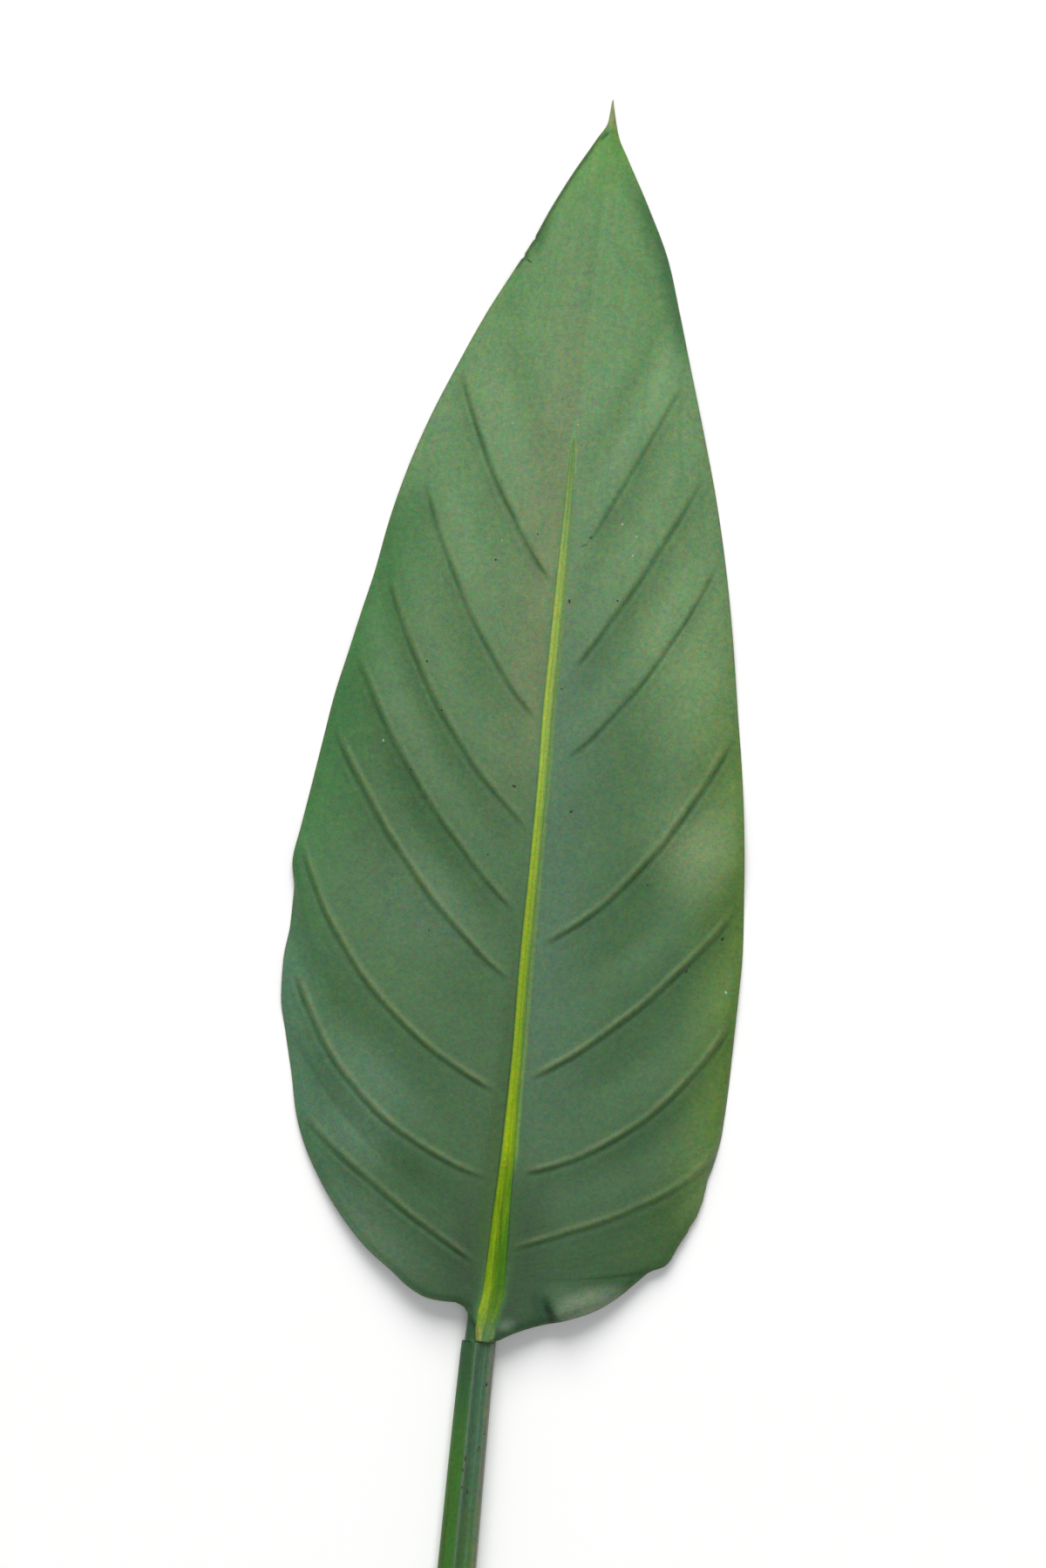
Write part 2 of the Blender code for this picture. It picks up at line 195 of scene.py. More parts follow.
@dataclass(frozen=True)
class Vein:
    """One side vein of the blade, which lies on a ray.

    root, run, bend and bow are the ray's; starts and ends are the shares of the ray between
    which the vein shows, rib is how far it stands out and how strong the painted light on it is,
    and ditch how deep the line below it is and how dark the painted shade there is.
    """

    root: float
    run: float
    bend: float
    bow: float
    starts: float
    ends: float
    rib: float
    ditch: float


LEFT_VEINS = (
    Vein(24.6, 89.4, 0.487, 0.056, 0.05, 0.96, 0.8, 1.15),
    Vein(52.7, 146.4, 0.497, 0.297, 0.02, 0.90, 1.05, 1.05),
    Vein(80.1, 178.6, 0.489, 0.228, 0.02, 0.97, 1.15, 1.0),
    Vein(115.9, 218.0, 0.416, 0.120, 0.02, 0.97, 1.0, 1.0),
    Vein(136.9, 243.9, 0.530, 0.113, 0.015, 0.95, 0.6, 1.05),
    Vein(165.6, 275.0, 0.441, 0.146, 0.0, 0.92, 0.5, 1.1),
    Vein(200.4, 309.2, 0.389, 0.119, 0.0, 0.90, 0.3, 1.0),
    Vein(244.8, 340.5, 0.510, 0.099, 0.0, 0.94, 0.2, 1.25),
)
RIGHT_VEINS = (
    Vein(31.6, 104.5, 0.818, 0.187, 0.0, 0.97, 1.0, 0.75),
    Vein(55.4, 146.2, 0.464, 0.233, 0.02, 0.97, 1.0, 1.05),
    Vein(85.0, 181.6, 0.425, 0.112, 0.03, 0.97, 1.15, 1.1),
    Vein(128.7, 238.0, 0.330, 0.166, 0.04, 0.98, 0.75, 1.3),
    Vein(186.0, 295.0, 0.368, 0.124, 0.07, 0.97, 0.1, 1.15),
    Vein(211.8, 323.5, 0.464, 0.051, 0.08, 0.95, 0.3, 1.0),
    Vein(248.6, 354.8, 0.451, 0.012, 0.14, 0.93, 0.12, 0.8),
)


@dataclass(frozen=True)
class Crease:
    """A short fold that grows from its start to its end at the margin.

    The blade stands higher on the fold's right, by rise, and that fades out within reach; depth
    and width are those of the groove on its left. The fold is whole before its end, and fades
    out beyond it, up to END lengths from its start.
    """

    start: tuple[float, float]
    end: tuple[float, float]
    rise: float
    reach: float
    depth: float
    width: float

    GROWTH = 1.2
    END = 1.6
    FADE = 0.3
    STEP_WIDTH = 0.45


@dataclass(frozen=True)
class Swell:
    """A low mound or hollow of the blade: middle, reach across and along, turn and height."""

    middle: tuple[float, float]
    reach: tuple[float, float]
    turn: float
    height: float


@dataclass(frozen=True)
class Nick:
    """A small bite in the margin: its run, its half-width and its depth."""

    run: float
    half_width: float
    depth: float


CREASES = (
    Crease((17.6, 21.0), (24.0, 8.9), 1.9, 15.0, 1.0, 2.2),
    Crease((-21.0, 346.2), (-24.4, 348.4), 0.0, 3.0, 0.35, 0.35),
)
SWELLS = (
    Swell((29.0, 14.0), (10.0, 6.0), 20.0, 1.2),
    Swell((62.0, 163.0), (9.0, 12.0), 10.0, 0.7),
    Swell((28.0, 310.0), (9.0, 16.0), 18.0, 0.5),
    Swell((36.6, 132.4), (13.0, 4.5), 38.0, -0.45),
    Swell((38.2, 91.7), (14.0, 4.0), 34.0, -0.35),
    Swell((46.0, 40.0), (14.0, 4.5), 26.0, -0.35),
    Swell((-5.5, 42.0), (3.2, 26.0), 0.0, -0.35),
    Swell((10.5, 42.0), (3.2, 24.0), 0.0, -0.3),
)
LEFT_NICKS = (Nick(384.0, 0.6, 0.4), Nick(377.5, 0.5, 0.4))
RIGHT_NICKS = (Nick(74.5, 1.6, 0.5), Nick(90.5, 2.2, 0.35), Nick(83.0, 1.3, -0.25))


def paint(red: int, green: int, blue: int) -> Colour:
    """Turns a screen colour into the linear one that a shader takes.

    Args:
        red: Screen value from 0 to 255.
        green: Screen value from 0 to 255.
        blue: Screen value from 0 to 255.

    Returns:
        The same colour in linear light.
    """
    shares = (value / 255 for value in (red, green, blue))
    linear = [s / 12.92 if s <= 0.04045 else ((s + 0.055) / 1.055) ** 2.4 for s in shares]
    return (linear[0], linear[1], linear[2])


def ease(share: np.ndarray) -> np.ndarray:
    """A soft step from 0 to 1."""
    share = np.clip(share, 0.0, 1.0)
    return share * share * (3 - 2 * share)


def plateau(place: np.ndarray, ends: Sequence[float]) -> np.ndarray:
    """1 between the two inner ends, which are in rising order, and 0 beyond the outer ones."""
    low, full, until, end = ends
    return ease((place - low) / (full - low)) * ease((end - place) / (end - until))


class Curve:
    """A smooth curve through given points that never swings past them."""

    def __init__(self, points: Points) -> None:
        """Fits the curve.

        Args:
            points: Rows of the place along, in rising order, and the values there.
        """
        table = np.array(points, dtype=float)
        self.at, self.values = table[:, 0], table[:, 1:]
        gaps = np.diff(self.at)[:, None]
        slopes = np.diff(self.values, axis=0) / gaps
        tangents = np.zeros_like(self.values)
        tangents[0], tangents[-1] = slopes[0], slopes[-1]
        before, after = slopes[:-1], slopes[1:]
        same_way = before * after > 0
        heavier, lighter = 2 * gaps[1:] + gaps[:-1], gaps[1:] + 2 * gaps[:-1]
        safe_before = np.where(same_way, before, 1.0)
        safe_after = np.where(same_way, after, 1.0)
        mean = (heavier + lighter) / (heavier / safe_before + lighter / safe_after)
        tangents[1:-1] = np.where(same_way, mean, 0.0)
        self.tangents = tangents

    def __call__(self, place: np.ndarray | float) -> np.ndarray:
        """Reads the curve.

        Args:
            place: Where to read it, a number or an array of any shape.

        Returns:
            The value there, with a last axis for the columns if there are several.
        """
        place = np.clip(np.asarray(place, dtype=float), self.at[0], self.at[-1])
        i = np.clip(np.searchsorted(self.at, place, side="right") - 1, 0, len(self.at) - 2)
        gap = (self.at[i + 1] - self.at[i])[..., None]
        t = (place[..., None] - self.at[i][..., None]) / gap
        found = (
            self.values[i] * (1 + 2 * t) * (1 - t) ** 2
            + self.values[i + 1] * t * t * (3 - 2 * t)
            + gap * (self.tangents[i] * t * (1 - t) ** 2 - self.tangents[i + 1] * t * t * (1 - t))
        )
        return found if found.shape[-1] > 1 else found[..., 0]


def along(points: Points) -> tuple[Curve, float]:
    """A smooth path through x, y points, by the distance along them.

    Args:
        points: The path's points in order.

    Returns:
        The path, and its whole length.
    """
    steps = [math.dist(a, b) for a, b in zip(points, points[1:])]
    runs = np.concatenate([[0.0], np.cumsum(steps)])
    return Curve([(run, *point) for run, point in zip(runs, points)]), float(runs[-1])


class Graph:
    """A node tree being wired, for a shader, a shader group or Geometry Nodes."""

    STEP = 190

    def __init__(self, tree: Tree) -> None:
        """Takes the tree to wire."""
        self.tree = tree

    def node(
        self, kind: str, sources: Mapping[str | int, Source] | None = None, **settings: object
    ) -> Node:
        """Adds a node.

        Args:
            kind: The node's Blender type.
            sources: What feeds its inputs, by name or number: a socket or a plain value.
            **settings: The node's own properties, set before its inputs.

        Returns:
            The new node.
        """
        made = self.tree.nodes.new(kind)
        made.location = (self.STEP * len(self.tree.nodes), 0)
        for name, value in settings.items():
            setattr(made, name, value)
        for key, source in (sources or {}).items():
            self.feed(made.inputs[key], source)
        return made

    def first(
        self, kind: str, sources: Mapping[str | int, Source] | None = None, **settings: object
    ) -> Socket:
        """The first output of a node that is added as node does."""
        return self.node(kind, sources, **settings).outputs[0]

    def feed(self, socket: Socket, source: Source) -> None:
        """Links a socket to another, or sets its own value.

        Args:
            socket: The input.
            source: An output socket, or a plain value.
        """
        if isinstance(source, bpy.types.NodeSocket):
            self.tree.links.new(source, socket)
        elif socket.type == "RGBA":
            socket.default_value = (*source, 1.0)
        else:
            socket.default_value = source

    def math(self, operation: str, *values: Source) -> Socket:
        """A Math node's result, from its inputs in order."""
        return self.first("ShaderNodeMath", dict(enumerate(values)), operation=operation)

    def product(self, *values: Source) -> Socket:
        """All the values multiplied together."""
        return reduce(partial(self.math, "MULTIPLY"), values)

    def total(self, *values: Source) -> Socket:
        """All the values added together."""
        return reduce(partial(self.math, "ADD"), values)

    def vector(self, operation: str, *values: Source, output: str = "Vector") -> Socket:
        """A Vector Math node's result, from its inputs in order."""
        made = self.node("ShaderNodeVectorMath", dict(enumerate(values)), operation=operation)
        return made.outputs[output]

    def scaled(self, vector: Source, factor: Source) -> Socket:
        """A vector times a number."""
        sources = {0: vector, "Scale": factor}
        return self.first("ShaderNodeVectorMath", sources, operation="SCALE")

    def smooth(self, value: Source, low: Source, high: Source) -> Socket:
        """A soft step of a value: 0 at low and 1 at high, which may be the smaller one."""
        sources = {"Value": value, "From Min": low, "From Max": high}
        return self.first("ShaderNodeMapRange", sources, interpolation_type="SMOOTHSTEP")

    def bell(self, value: Source, middle: Source, width: Source) -> Socket:
        """A bell curve of a value: 1 at its middle, and near 0 two widths away."""
        away = self.math("DIVIDE", self.math("SUBTRACT", value, middle), width)
        return self.math("EXPONENT", self.product(away, away, -1.0))

    def mix(self, factor: Source, low: Source, high: Source) -> Socket:
        """A number between two others."""
        return self.first("ShaderNodeMix", {0: factor, 2: low, 3: high}, data_type="FLOAT")

    def tint(self, factor: Source, base: Source, colour: Source) -> Socket:
        """A colour with another laid over it, by how much of that shows."""
        sources = {0: factor, 6: base, 7: colour}
        return self.node("ShaderNodeMix", sources, data_type="RGBA").outputs[2]

    def ramp(self, value: Source, stops: Stops) -> Socket:
        """A colour that changes with a value.

        Args:
            value: The value.
            stops: Values in rising order, and the colour at each.

        Returns:
            The colour socket.
        """
        made = self.node("ShaderNodeValToRGB", {"Fac": value})
        band = made.color_ramp
        while len(band.elements) < len(stops):
            band.elements.new(0.5)
        for element, (place, colour) in zip(band.elements, stops):
            element.position = place
            element.color = (*colour, 1.0)
        return made.outputs["Color"]

    def noise(
        self, point: Source, scale: Source, detail: float = 2.0, roughness: float = 0.5
    ) -> Socket:
        """Smooth random values about 0.5 over a vector."""
        sources = {"Vector": point, "Scale": scale, "Detail": detail, "Roughness": roughness}
        return self.node("ShaderNodeTexNoise", sources).outputs["Fac"]

    def reading(self, name: str) -> Socket:
        """A shader's reading of a mesh attribute that is a number."""
        return self.node("ShaderNodeAttribute", attribute_name=name).outputs["Fac"]

    def split(self, vector: Source) -> tuple[Socket, Socket, Socket]:
        """The three parts of a vector."""
        parts = self.node("ShaderNodeSeparateXYZ", {0: vector}).outputs
        return parts[0], parts[1], parts[2]

    def join(self, x: Source, y: Source, z: Source) -> Socket:
        """A vector of three numbers."""
        return self.first("ShaderNodeCombineXYZ", {0: x, 1: y, 2: z})

    def millimetres(self) -> Socket:
        """The place on the object, in millimetres of its own frame."""
        place = self.node("ShaderNodeTexCoord").outputs["Object"]
        return self.vector("MULTIPLY", place, (1 / MM, 1 / MM, 1 / MM))


def group_tree(
    name: str, kind: str, inputs: Mapping[str, tuple[str, Source]], outputs: Mapping[str, str]
) -> tuple[Graph, Outputs, bpy.types.NodeInputs]:
    """Starts a node group.

    Args:
        name: The group's name.
        kind: ShaderNodeTree or GeometryNodeTree.
        inputs: Socket kind and default value of each input, by name.
        outputs: Socket kind of each output, by name.

    Returns:
        The graph to wire, the sockets that give its inputs, and those that take its outputs.
    """
    tree = bpy.data.node_groups.new(name, kind)
    for label, (socket_kind, value) in inputs.items():
        socket = tree.interface.new_socket(label, in_out="INPUT", socket_type=socket_kind)
        if value is not None:
            socket.default_value = value
    for label, socket_kind in outputs.items():
        tree.interface.new_socket(label, in_out="OUTPUT", socket_type=socket_kind)
    graph = Graph(tree)
    given = graph.node("NodeGroupInput").outputs
    taken = graph.node("NodeGroupOutput").inputs
    return graph, given, taken


NUMBER = "NodeSocketFloat"
VECTOR = "NodeSocketVector"
COLOUR = "NodeSocketColor"
GEOMETRY = "NodeSocketGeometry"
OBJECT = "NodeSocketObject"
MATERIAL = "NodeSocketMaterial"
WHOLE = "NodeSocketInt"
ZERO = (0.0, 0.0, 0.0)
HALF = (0.5, 0.5, 0.5)
ONE = (1.0, 1.0, 1.0)


class Effects:
    """Shader groups that several of the leaf's finishes share."""

    def __init__(self) -> None:
        """Builds each group once."""
        self.grain = self._grain()
        self.fibres = self._fibres()
        self.flecks = self._flecks()
        self.patch = self._patch()

    def _grain(self) -> Tree:
        """Mottles a skin's colour at several sizes, and gives the height of its grain.

        Returns:
            The group.
        """
        inputs = {
            "Colour": (COLOUR, None), "Point": (VECTOR, ZERO), "Cloud Size": (NUMBER, 40.0),
            "Blotch Size": (NUMBER, 7.0), "Speckle Size": (NUMBER, 1.6),
            "Grain Size": (NUMBER, 0.7), "Strength": (NUMBER, 1.0),
        }
        outputs = {"Colour": COLOUR, "Cloud": NUMBER, "Blotch": NUMBER, "Height": NUMBER}
        g, given, taken = group_tree("Skin grain", "ShaderNodeTree", inputs, outputs)

        def field_of(size: str, output: str = "Fac") -> Socket:
            """Noise whose lumps have the named size."""
            sources = {"Vector": given["Point"], "Scale": g.math("DIVIDE", 1.0, given[size])}
            return g.node("ShaderNodeTexNoise", {**sources, "Detail": 2.0}).outputs[output]

        def about_zero(value: Socket) -> Socket:
            """A value from 0 to 1 as one from -1 to 1."""
            return g.product(g.math("SUBTRACT", value, 0.5), 2.0)

        def hues(colour: Socket, strength: Triple) -> Socket:
            """A noise's colour about zero, as strong in each channel as given."""
            return g.vector("MULTIPLY", g.vector("SUBTRACT", colour, HALF), strength)

        speckle_strength, fine_strength = (1.35, 0.64, 1.15), (1.2, 0.72, 1.08)
        cloud, blotch = about_zero(field_of("Cloud Size")), about_zero(field_of("Blotch Size"))
        fine = field_of("Grain Size", "Color")
        speckle = hues(field_of("Speckle Size", "Color"), speckle_strength)
        change = g.vector("ADD", speckle, hues(fine, fine_strength))
        warmth = g.join(g.product(blotch, 0.05), 0.0, g.product(blotch, -0.07))
        wash = g.total(g.product(cloud, 0.08), g.product(blotch, 0.12))
        for part in (warmth, g.join(wash, wash, wash)):
            change = g.vector("ADD", change, part)
        factor = g.vector("ADD", g.scaled(change, given["Strength"]), ONE)
        g.feed(taken["Colour"], g.vector("MULTIPLY", given["Colour"], factor))
        g.feed(taken["Cloud"], cloud)
        g.feed(taken["Blotch"], blotch)
        g.feed(taken["Height"], g.split(fine)[0])
        return g.tree

    def _fibres(self) -> Tree:
        """Streaks that run lengthwise, such as fibres under the skin.

        Returns:
            The group.
        """
        inputs = {
            "Across": (NUMBER, 0.0), "Along": (NUMBER, 0.0), "Spacing": (NUMBER, 0.5),
            "Length": (NUMBER, 40.0), "Seed": (NUMBER, 0.0),
        }
        outputs = {"Streak": NUMBER, "Height": NUMBER}
        g, given, taken = group_tree("Lengthwise fibres", "ShaderNodeTree", inputs, outputs)
        across = g.math("DIVIDE", given["Across"], given["Spacing"])
        run = g.math("DIVIDE", given["Along"], given["Length"])
        value = g.noise(g.join(across, run, given["Seed"]), 1.0, 2.0, 0.6)
        g.feed(taken["Streak"], g.smooth(value, 0.35, 0.7))
        g.feed(taken["Height"], value)
        return g.tree

    def _flecks(self) -> Tree:
        """Scattered small round flecks, of which a share is kept.

        Returns:
            The group.
        """
        inputs = {
            "Point": (VECTOR, ZERO), "Spacing": (NUMBER, 6.0), "Size": (NUMBER, 0.4),
            "Share": (NUMBER, 0.3),
        }
        g, given, taken = group_tree("Flecks", "ShaderNodeTree", inputs, {"Mask": NUMBER})
        place = g.scaled(given["Point"], g.math("DIVIDE", 1.0, given["Spacing"]))
        cells = g.node("ShaderNodeTexVoronoi", {"Vector": place, "Scale": 1.0}).outputs
        reach = g.math("DIVIDE", given["Size"], given["Spacing"])
        dot = g.smooth(cells["Distance"], reach, g.product(reach, 0.4))
        kept = g.math("LESS_THAN", g.split(cells["Color"])[0], given["Share"])
        g.feed(taken["Mask"], g.product(dot, kept))
        return g.tree

    def _patch(self) -> Tree:
        """A soft oval patch seen from above: 1 in its middle and 0 at its reach.

        Returns:
            The group.
        """
        inputs = {
            "Point": (VECTOR, ZERO), "Middle": (VECTOR, ZERO), "Reach": (VECTOR, ONE),
            "Turn": (VECTOR, ZERO), "Solid": (NUMBER, 0.0),
        }
        g, given, taken = group_tree("Soft patch", "ShaderNodeTree", inputs, {"Mask": NUMBER})
        sources = {"Vector": given["Point"], "Center": given["Middle"], "Rotation": given["Turn"]}
        turned = g.first(
            "ShaderNodeVectorRotate", sources, rotation_type="EULER_XYZ", invert=True
        )
        shares = g.vector("DIVIDE", g.vector("SUBTRACT", turned, given["Middle"]), given["Reach"])
        distance = g.vector("LENGTH", shares, output="Value")
        g.feed(taken["Mask"], g.smooth(distance, 1.0, given["Solid"]))
        return g.tree


def skin(name: str, roughness: float, gloss: float = 0.36) -> tuple[Material, Graph, Node]:
    """Starts a material.

    Args:
        name: The material's name.
        roughness: Its plain roughness, until something is linked to it.
        gloss: How strongly it reflects.

    Returns:
        The material, its graph and its Principled shader.
    """
    material = bpy.data.materials.new(name)
    material.use_nodes = True
    shader = material.node_tree.nodes["Principled BSDF"]
    shader.inputs["Specular IOR Level"].default_value = gloss
    shader.inputs["Roughness"].default_value = roughness
    return material, Graph(material.node_tree), shader


def use(g: Graph, tree: Tree, **sources: Source) -> Outputs:
    """Places a shared group.

    Args:
        g: The graph to place it in.
        tree: The group.
        **sources: What feeds its inputs, with _ for each space of their names.

    Returns:
        The group's outputs.
    """
    made = g.node("ShaderNodeGroup", node_tree=tree)
    for key, source in sources.items():
        g.feed(made.inputs[key.replace("_", " ")], source)
    return made.outputs


def bumped(g: Graph, shader: Node, height: Socket, distance: float) -> None:
    """Gives a shader a fine relief, where a height of 1 stands for a distance in metres."""
    bump = g.first("ShaderNodeBump", {"Height": height, "Distance": distance, "Strength": 1.0})
    g.feed(shader.inputs["Normal"], bump)


class Coat:
    """A skin's colour, laid on coat by coat."""

    def __init__(self, g: Graph, lowest: Source) -> None:
        """Starts with the lowest colour."""
        self.g, self.colour = g, lowest

    def add(self, colour: Source, *amounts: Source) -> None:
        """Lays a colour on, as strong as the product of the amounts."""
        self.colour = self.g.tint(self.g.product(*amounts), self.colour, colour)


@dataclass(frozen=True)
class Patch:
    """A soft patch of another tint on the blade: middle, reach, turn in degrees, how much."""

    middle: tuple[float, float]
    reach: tuple[float, float]
    turn: float
    colour: Colour
    amount: float
    solid: float = 0.0

    ANY_HEIGHT = 1000.0

    def mask(self, g: Graph, effects: Effects, point: Socket) -> Socket:
        """Where the patch lies.

        Args:
            g: The material's graph.
            effects: The shared groups.
            point: The place on the leaf, in millimetres.

        Returns:
            1 in the patch's middle and 0 outside it.
        """
        spot = use(
            g, effects.patch, Point=point, Middle=(*self.middle, 0.0),
            Reach=(*self.reach, self.ANY_HEIGHT), Turn=(0.0, 0.0, math.radians(self.turn)),
            Solid=self.solid,
        )
        return spot["Mask"]


@dataclass(frozen=True)
class BladeFinish:
    """The blade's upper skin: green, with tints that follow its length, margins and veins, and
    painted light and shade on its folds, swells, waves, veins, rolled edge and beside the strip.
    """

    along_stops: Stops = (
        (0.0, paint(44, 78, 46)),
        (0.1, paint(48, 84, 48)),
        (0.22, paint(60, 96, 58)),
        (0.42, paint(66, 102, 63)),
        (0.6, paint(88, 121, 80)),
        (0.76, paint(97, 132, 88)),
        (0.9, paint(90, 130, 78)),
        (1.0, paint(86, 134, 58)),
    )
    right_margin_light: Colour = paint(84, 115, 47)
    shoulder: Colour = paint(94, 127, 54)
    shoulder_low: Colour = paint(104, 142, 34)
    beside_foot: Colour = paint(66, 114, 42)
    right_of_strip_shade: Colour = paint(42, 82, 34)
    beyond: Colour = paint(116, 156, 80)
    shaded: Colour = paint(48, 82, 32)
    teal: Colour = paint(54, 108, 56)
    left_margin_sheen: Colour = paint(84, 124, 98)
    mucro: Colour = paint(142, 146, 96)
    warm: Colour = paint(108, 118, 80)
    blue_grey: Colour = paint(76, 110, 86)
    # Dark green for the painted shade at the veins and on the rolled edge, and for the dark specks.
    deep: Colour = paint(32, 70, 32)
    tan: Colour = paint(100, 112, 66)
    brown: Colour = paint(96, 92, 60)
    edge_green: Colour = paint(34, 84, 50)
    patches: tuple[Patch, ...] = (
        # Painted shadow in the fold at the blade's right base, and its dark crease line.
        Patch((19.2, 13.0), (4.2, 8.5), 28.0, paint(30, 70, 44), 0.75, 0.2),
        Patch((22.0, 11.4), (1.7, 4.6), 29.0, paint(14, 44, 26), 0.8, 0.3),
        Patch((3.9, 3.2), (1.3, 4.4), -6.0, paint(112, 142, 84), 0.75, 0.35),
        # Painted light on the lobe right of that fold, where it faces the light.
        Patch((34.0, 15.5), (16.5, 7.4), 24.0, paint(112, 130, 104), 0.75, 0.35),
        Patch((32.0, 11.0), (14.0, 4.0), 24.0, paint(132, 148, 118), 0.4, 0.2),
        Patch((8.5, 6.8), (4.5, 3.4), 20.0, paint(120, 138, 118), 0.55),
        # Painted light on a wave of the right margin that faces the light.
        Patch((50.0, 166.0), (22.0, 25.0), 12.0, paint(126, 148, 102), 0.55),
        Patch((66.0, 58.0), (11.0, 24.0), -10.0, paint(112, 142, 84), 0.5),
        # Painted light on the right outer half and on the swell near the tip, where they face the
        # light.
        Patch((44.0, 226.0), (26.0, 66.0), 10.0, paint(128, 160, 108), 0.4),
        Patch((30.0, 308.0), (15.0, 28.0), 18.0, paint(120, 154, 106), 0.4),
        Patch((-40.0, 32.0), (34.0, 20.0), -35.0, paint(92, 120, 94), 0.5),
        Patch((-46.0, 64.0), (22.0, 16.0), -38.0, paint(100, 134, 108), 0.55),
        Patch((-46.0, 82.0), (32.0, 18.0), -34.0, paint(88, 122, 98), 0.5),
        Patch((-34.0, 138.0), (36.0, 20.0), -44.0, paint(94, 122, 96), 0.45),
        # Painted shade in the hollows on either side of the strip's foot.
        Patch((10.0, 30.0), (14.0, 36.0), -8.0, paint(30, 62, 30), 0.8),
        Patch((-7.0, 28.0), (9.0, 32.0), 4.0, paint(34, 62, 32), 0.8),
        Patch((8.0, 260.5), (0.95, 0.6), 30.0, paint(14, 56, 30), 0.8, 0.3),
        Patch((6.1, 257.8), (1.9, 0.5), 28.0, paint(30, 68, 36), 0.7, 0.2),
        # Painted shadow under the rolled edge at the foot of the point, and painted shade along the
        # rolled left margin.
        Patch((-1.3, 389.7), (3.2, 0.95), 47.0, paint(28, 74, 38), 0.8, 0.25),
        Patch((-18.0, 356.0), (3.6, 14.0), -23.0, paint(40, 88, 44), 0.6),
        Patch((-21.4, 347.0), (1.4, 0.5), -32.0, paint(22, 48, 26), 0.8, 0.4),
    )

    def material(self, effects: Effects) -> Material:
        """Builds the material.

        Args:
            effects: The shared groups.

        Returns:
            The finished material.
        """
        material, g, shader = skin("Blade upper skin", 0.5)
        point = g.millimetres()
        x, y, _ = g.split(point)
        root, share = g.reading("root"), g.reading("share")
        edge, spine = g.reading("edge"), g.reading("spine")
        # Signed distance from the midrib, which passes softly from one half to the other.
        aside = g.product(g.reading("side"), spine)
        is_right, is_left = g.smooth(aside, -5.0, 5.0), g.smooth(aside, 5.0, -5.0)
        drift = g.product(g.math("SUBTRACT", g.noise(point, 0.02), 0.5), 60.0)
        y_soft = g.math("ADD", y, drift)
        coat = Coat(g, g.ramp(g.math("DIVIDE", y_soft, BLADE_LENGTH), self.along_stops))

        def between(low: float, full: float, until: float, end: float) -> Socket:
            """1 from full to until along the leaf, and 0 before low and past end."""
            return g.product(g.smooth(y_soft, low, full), g.smooth(y_soft, end, until))

        for tint, half, near, reach, amount in (
            (self.warm, is_left, g.smooth(spine, 36.0, 4.0), (150, 215, 300, 370), 0.55),
            (self.blue_grey, is_right, g.smooth(spine, 44.0, 4.0), (40, 110, 190, 290), 0.6),
            # Painted light along the right margin from y 20 to 260 mm, where it faces the light, in
            # olive.
            (self.right_margin_light, is_right, g.smooth(edge, 24.0, 0.0), (20, 80, 190, 260), 0.85),
            # Painted shade along the left margin from y 110 to 290 mm, where it curves away from
            # the light, in teal.
            (self.teal, is_left, g.smooth(edge, 22.0, 2.0), (110, 170, 250, 290), 0.75),
            # Painted sheen along the left margin from y 36 to 150 mm, in a bluish mint.
            (self.left_margin_sheen, is_left, g.smooth(edge, 20.0, 0.0), (36, 64, 110, 150), 0.6),
            (self.edge_green, is_right, g.smooth(edge, 7.0, 0.0), (305, 335, 366, 392), 0.7),
        ):
            coat.add(tint, half, near, between(*reach), amount)
        for patch in self.patches:
            coat.add(patch.colour, patch.mask(g, effects, point), patch.amount)

        on_right, on_left = g.smooth(aside, -0.3, 0.1), g.smooth(aside, 0.3, -0.1)
        band_end = g.mix(g.smooth(y, 60.0, 110.0), 1.3, 2.1)
        shoulder = g.product(on_right, g.smooth(aside, g.math("ADD", band_end, 0.5),
                                                g.math("SUBTRACT", band_end, 0.4)))
        shoulder = g.product(shoulder, g.smooth(y, 54.0, 66.0), g.smooth(y, 275.0, 215.0))
        band = g.tint(g.smooth(y, 60.0, 100.0), self.shoulder_low, self.shoulder)
        coat.add(band, shoulder, 0.75)
        # Painted shade beside the strip: on its left from y 14 to 190 mm, and on its right from y
        # 16 to 62 mm.
        shaded = g.product(g.smooth(aside, -8.0, -0.5), on_left)
        shaded = g.product(shaded, g.smooth(y, 14.0, 34.0), g.smooth(y, 190.0, 80.0))
        coat.add(self.shaded, shaded, 0.85)
        low = g.product(on_right, g.smooth(aside, 5.0, 0.5), between(16.0, 28.0, 46.0, 62.0))
        coat.add(self.right_of_strip_shade, low, 0.65)
        coat.add(self.beside_foot, g.smooth(spine, 2.2, 0.0), g.smooth(y, 30.0, 14.0), 0.6)
        ends = g.product(g.smooth(y, 274.0, 286.0), g.smooth(y, 299.0, 291.0))
        coat.add(self.beyond, g.bell(aside, 0.0, 1.1), ends, 0.6)
        broad = use(g, effects.fibres, Across=aside, Along=y, Spacing=4.5, Length=110.0, Seed=2.0)
        streaked = g.math("SUBTRACT", broad["Height"], 0.5)
        streaked = g.product(streaked, g.smooth(y, 200.0, 330.0), 1.1)
        coat.add(self.teal, g.math("MAXIMUM", streaked, 0.0))
        coat.add(self.warm, g.math("MAXIMUM", g.product(streaked, -1.0), 0.0))

        fine = use(
            g, effects.fibres, Across=root, Along=g.product(share, 60.0), Spacing=0.55, Length=24.0,
        )
        coat.add(self.tan, fine["Streak"], 0.07)
        # Painted shade in each vein's ditch and in a soft band below it, and painted light in tan
        # on the upper flank of its rib.
        coat.add(self.deep, g.reading("vein_shade"), 0.68)
        coat.add(self.tan, g.reading("vein_line"), 0.42)
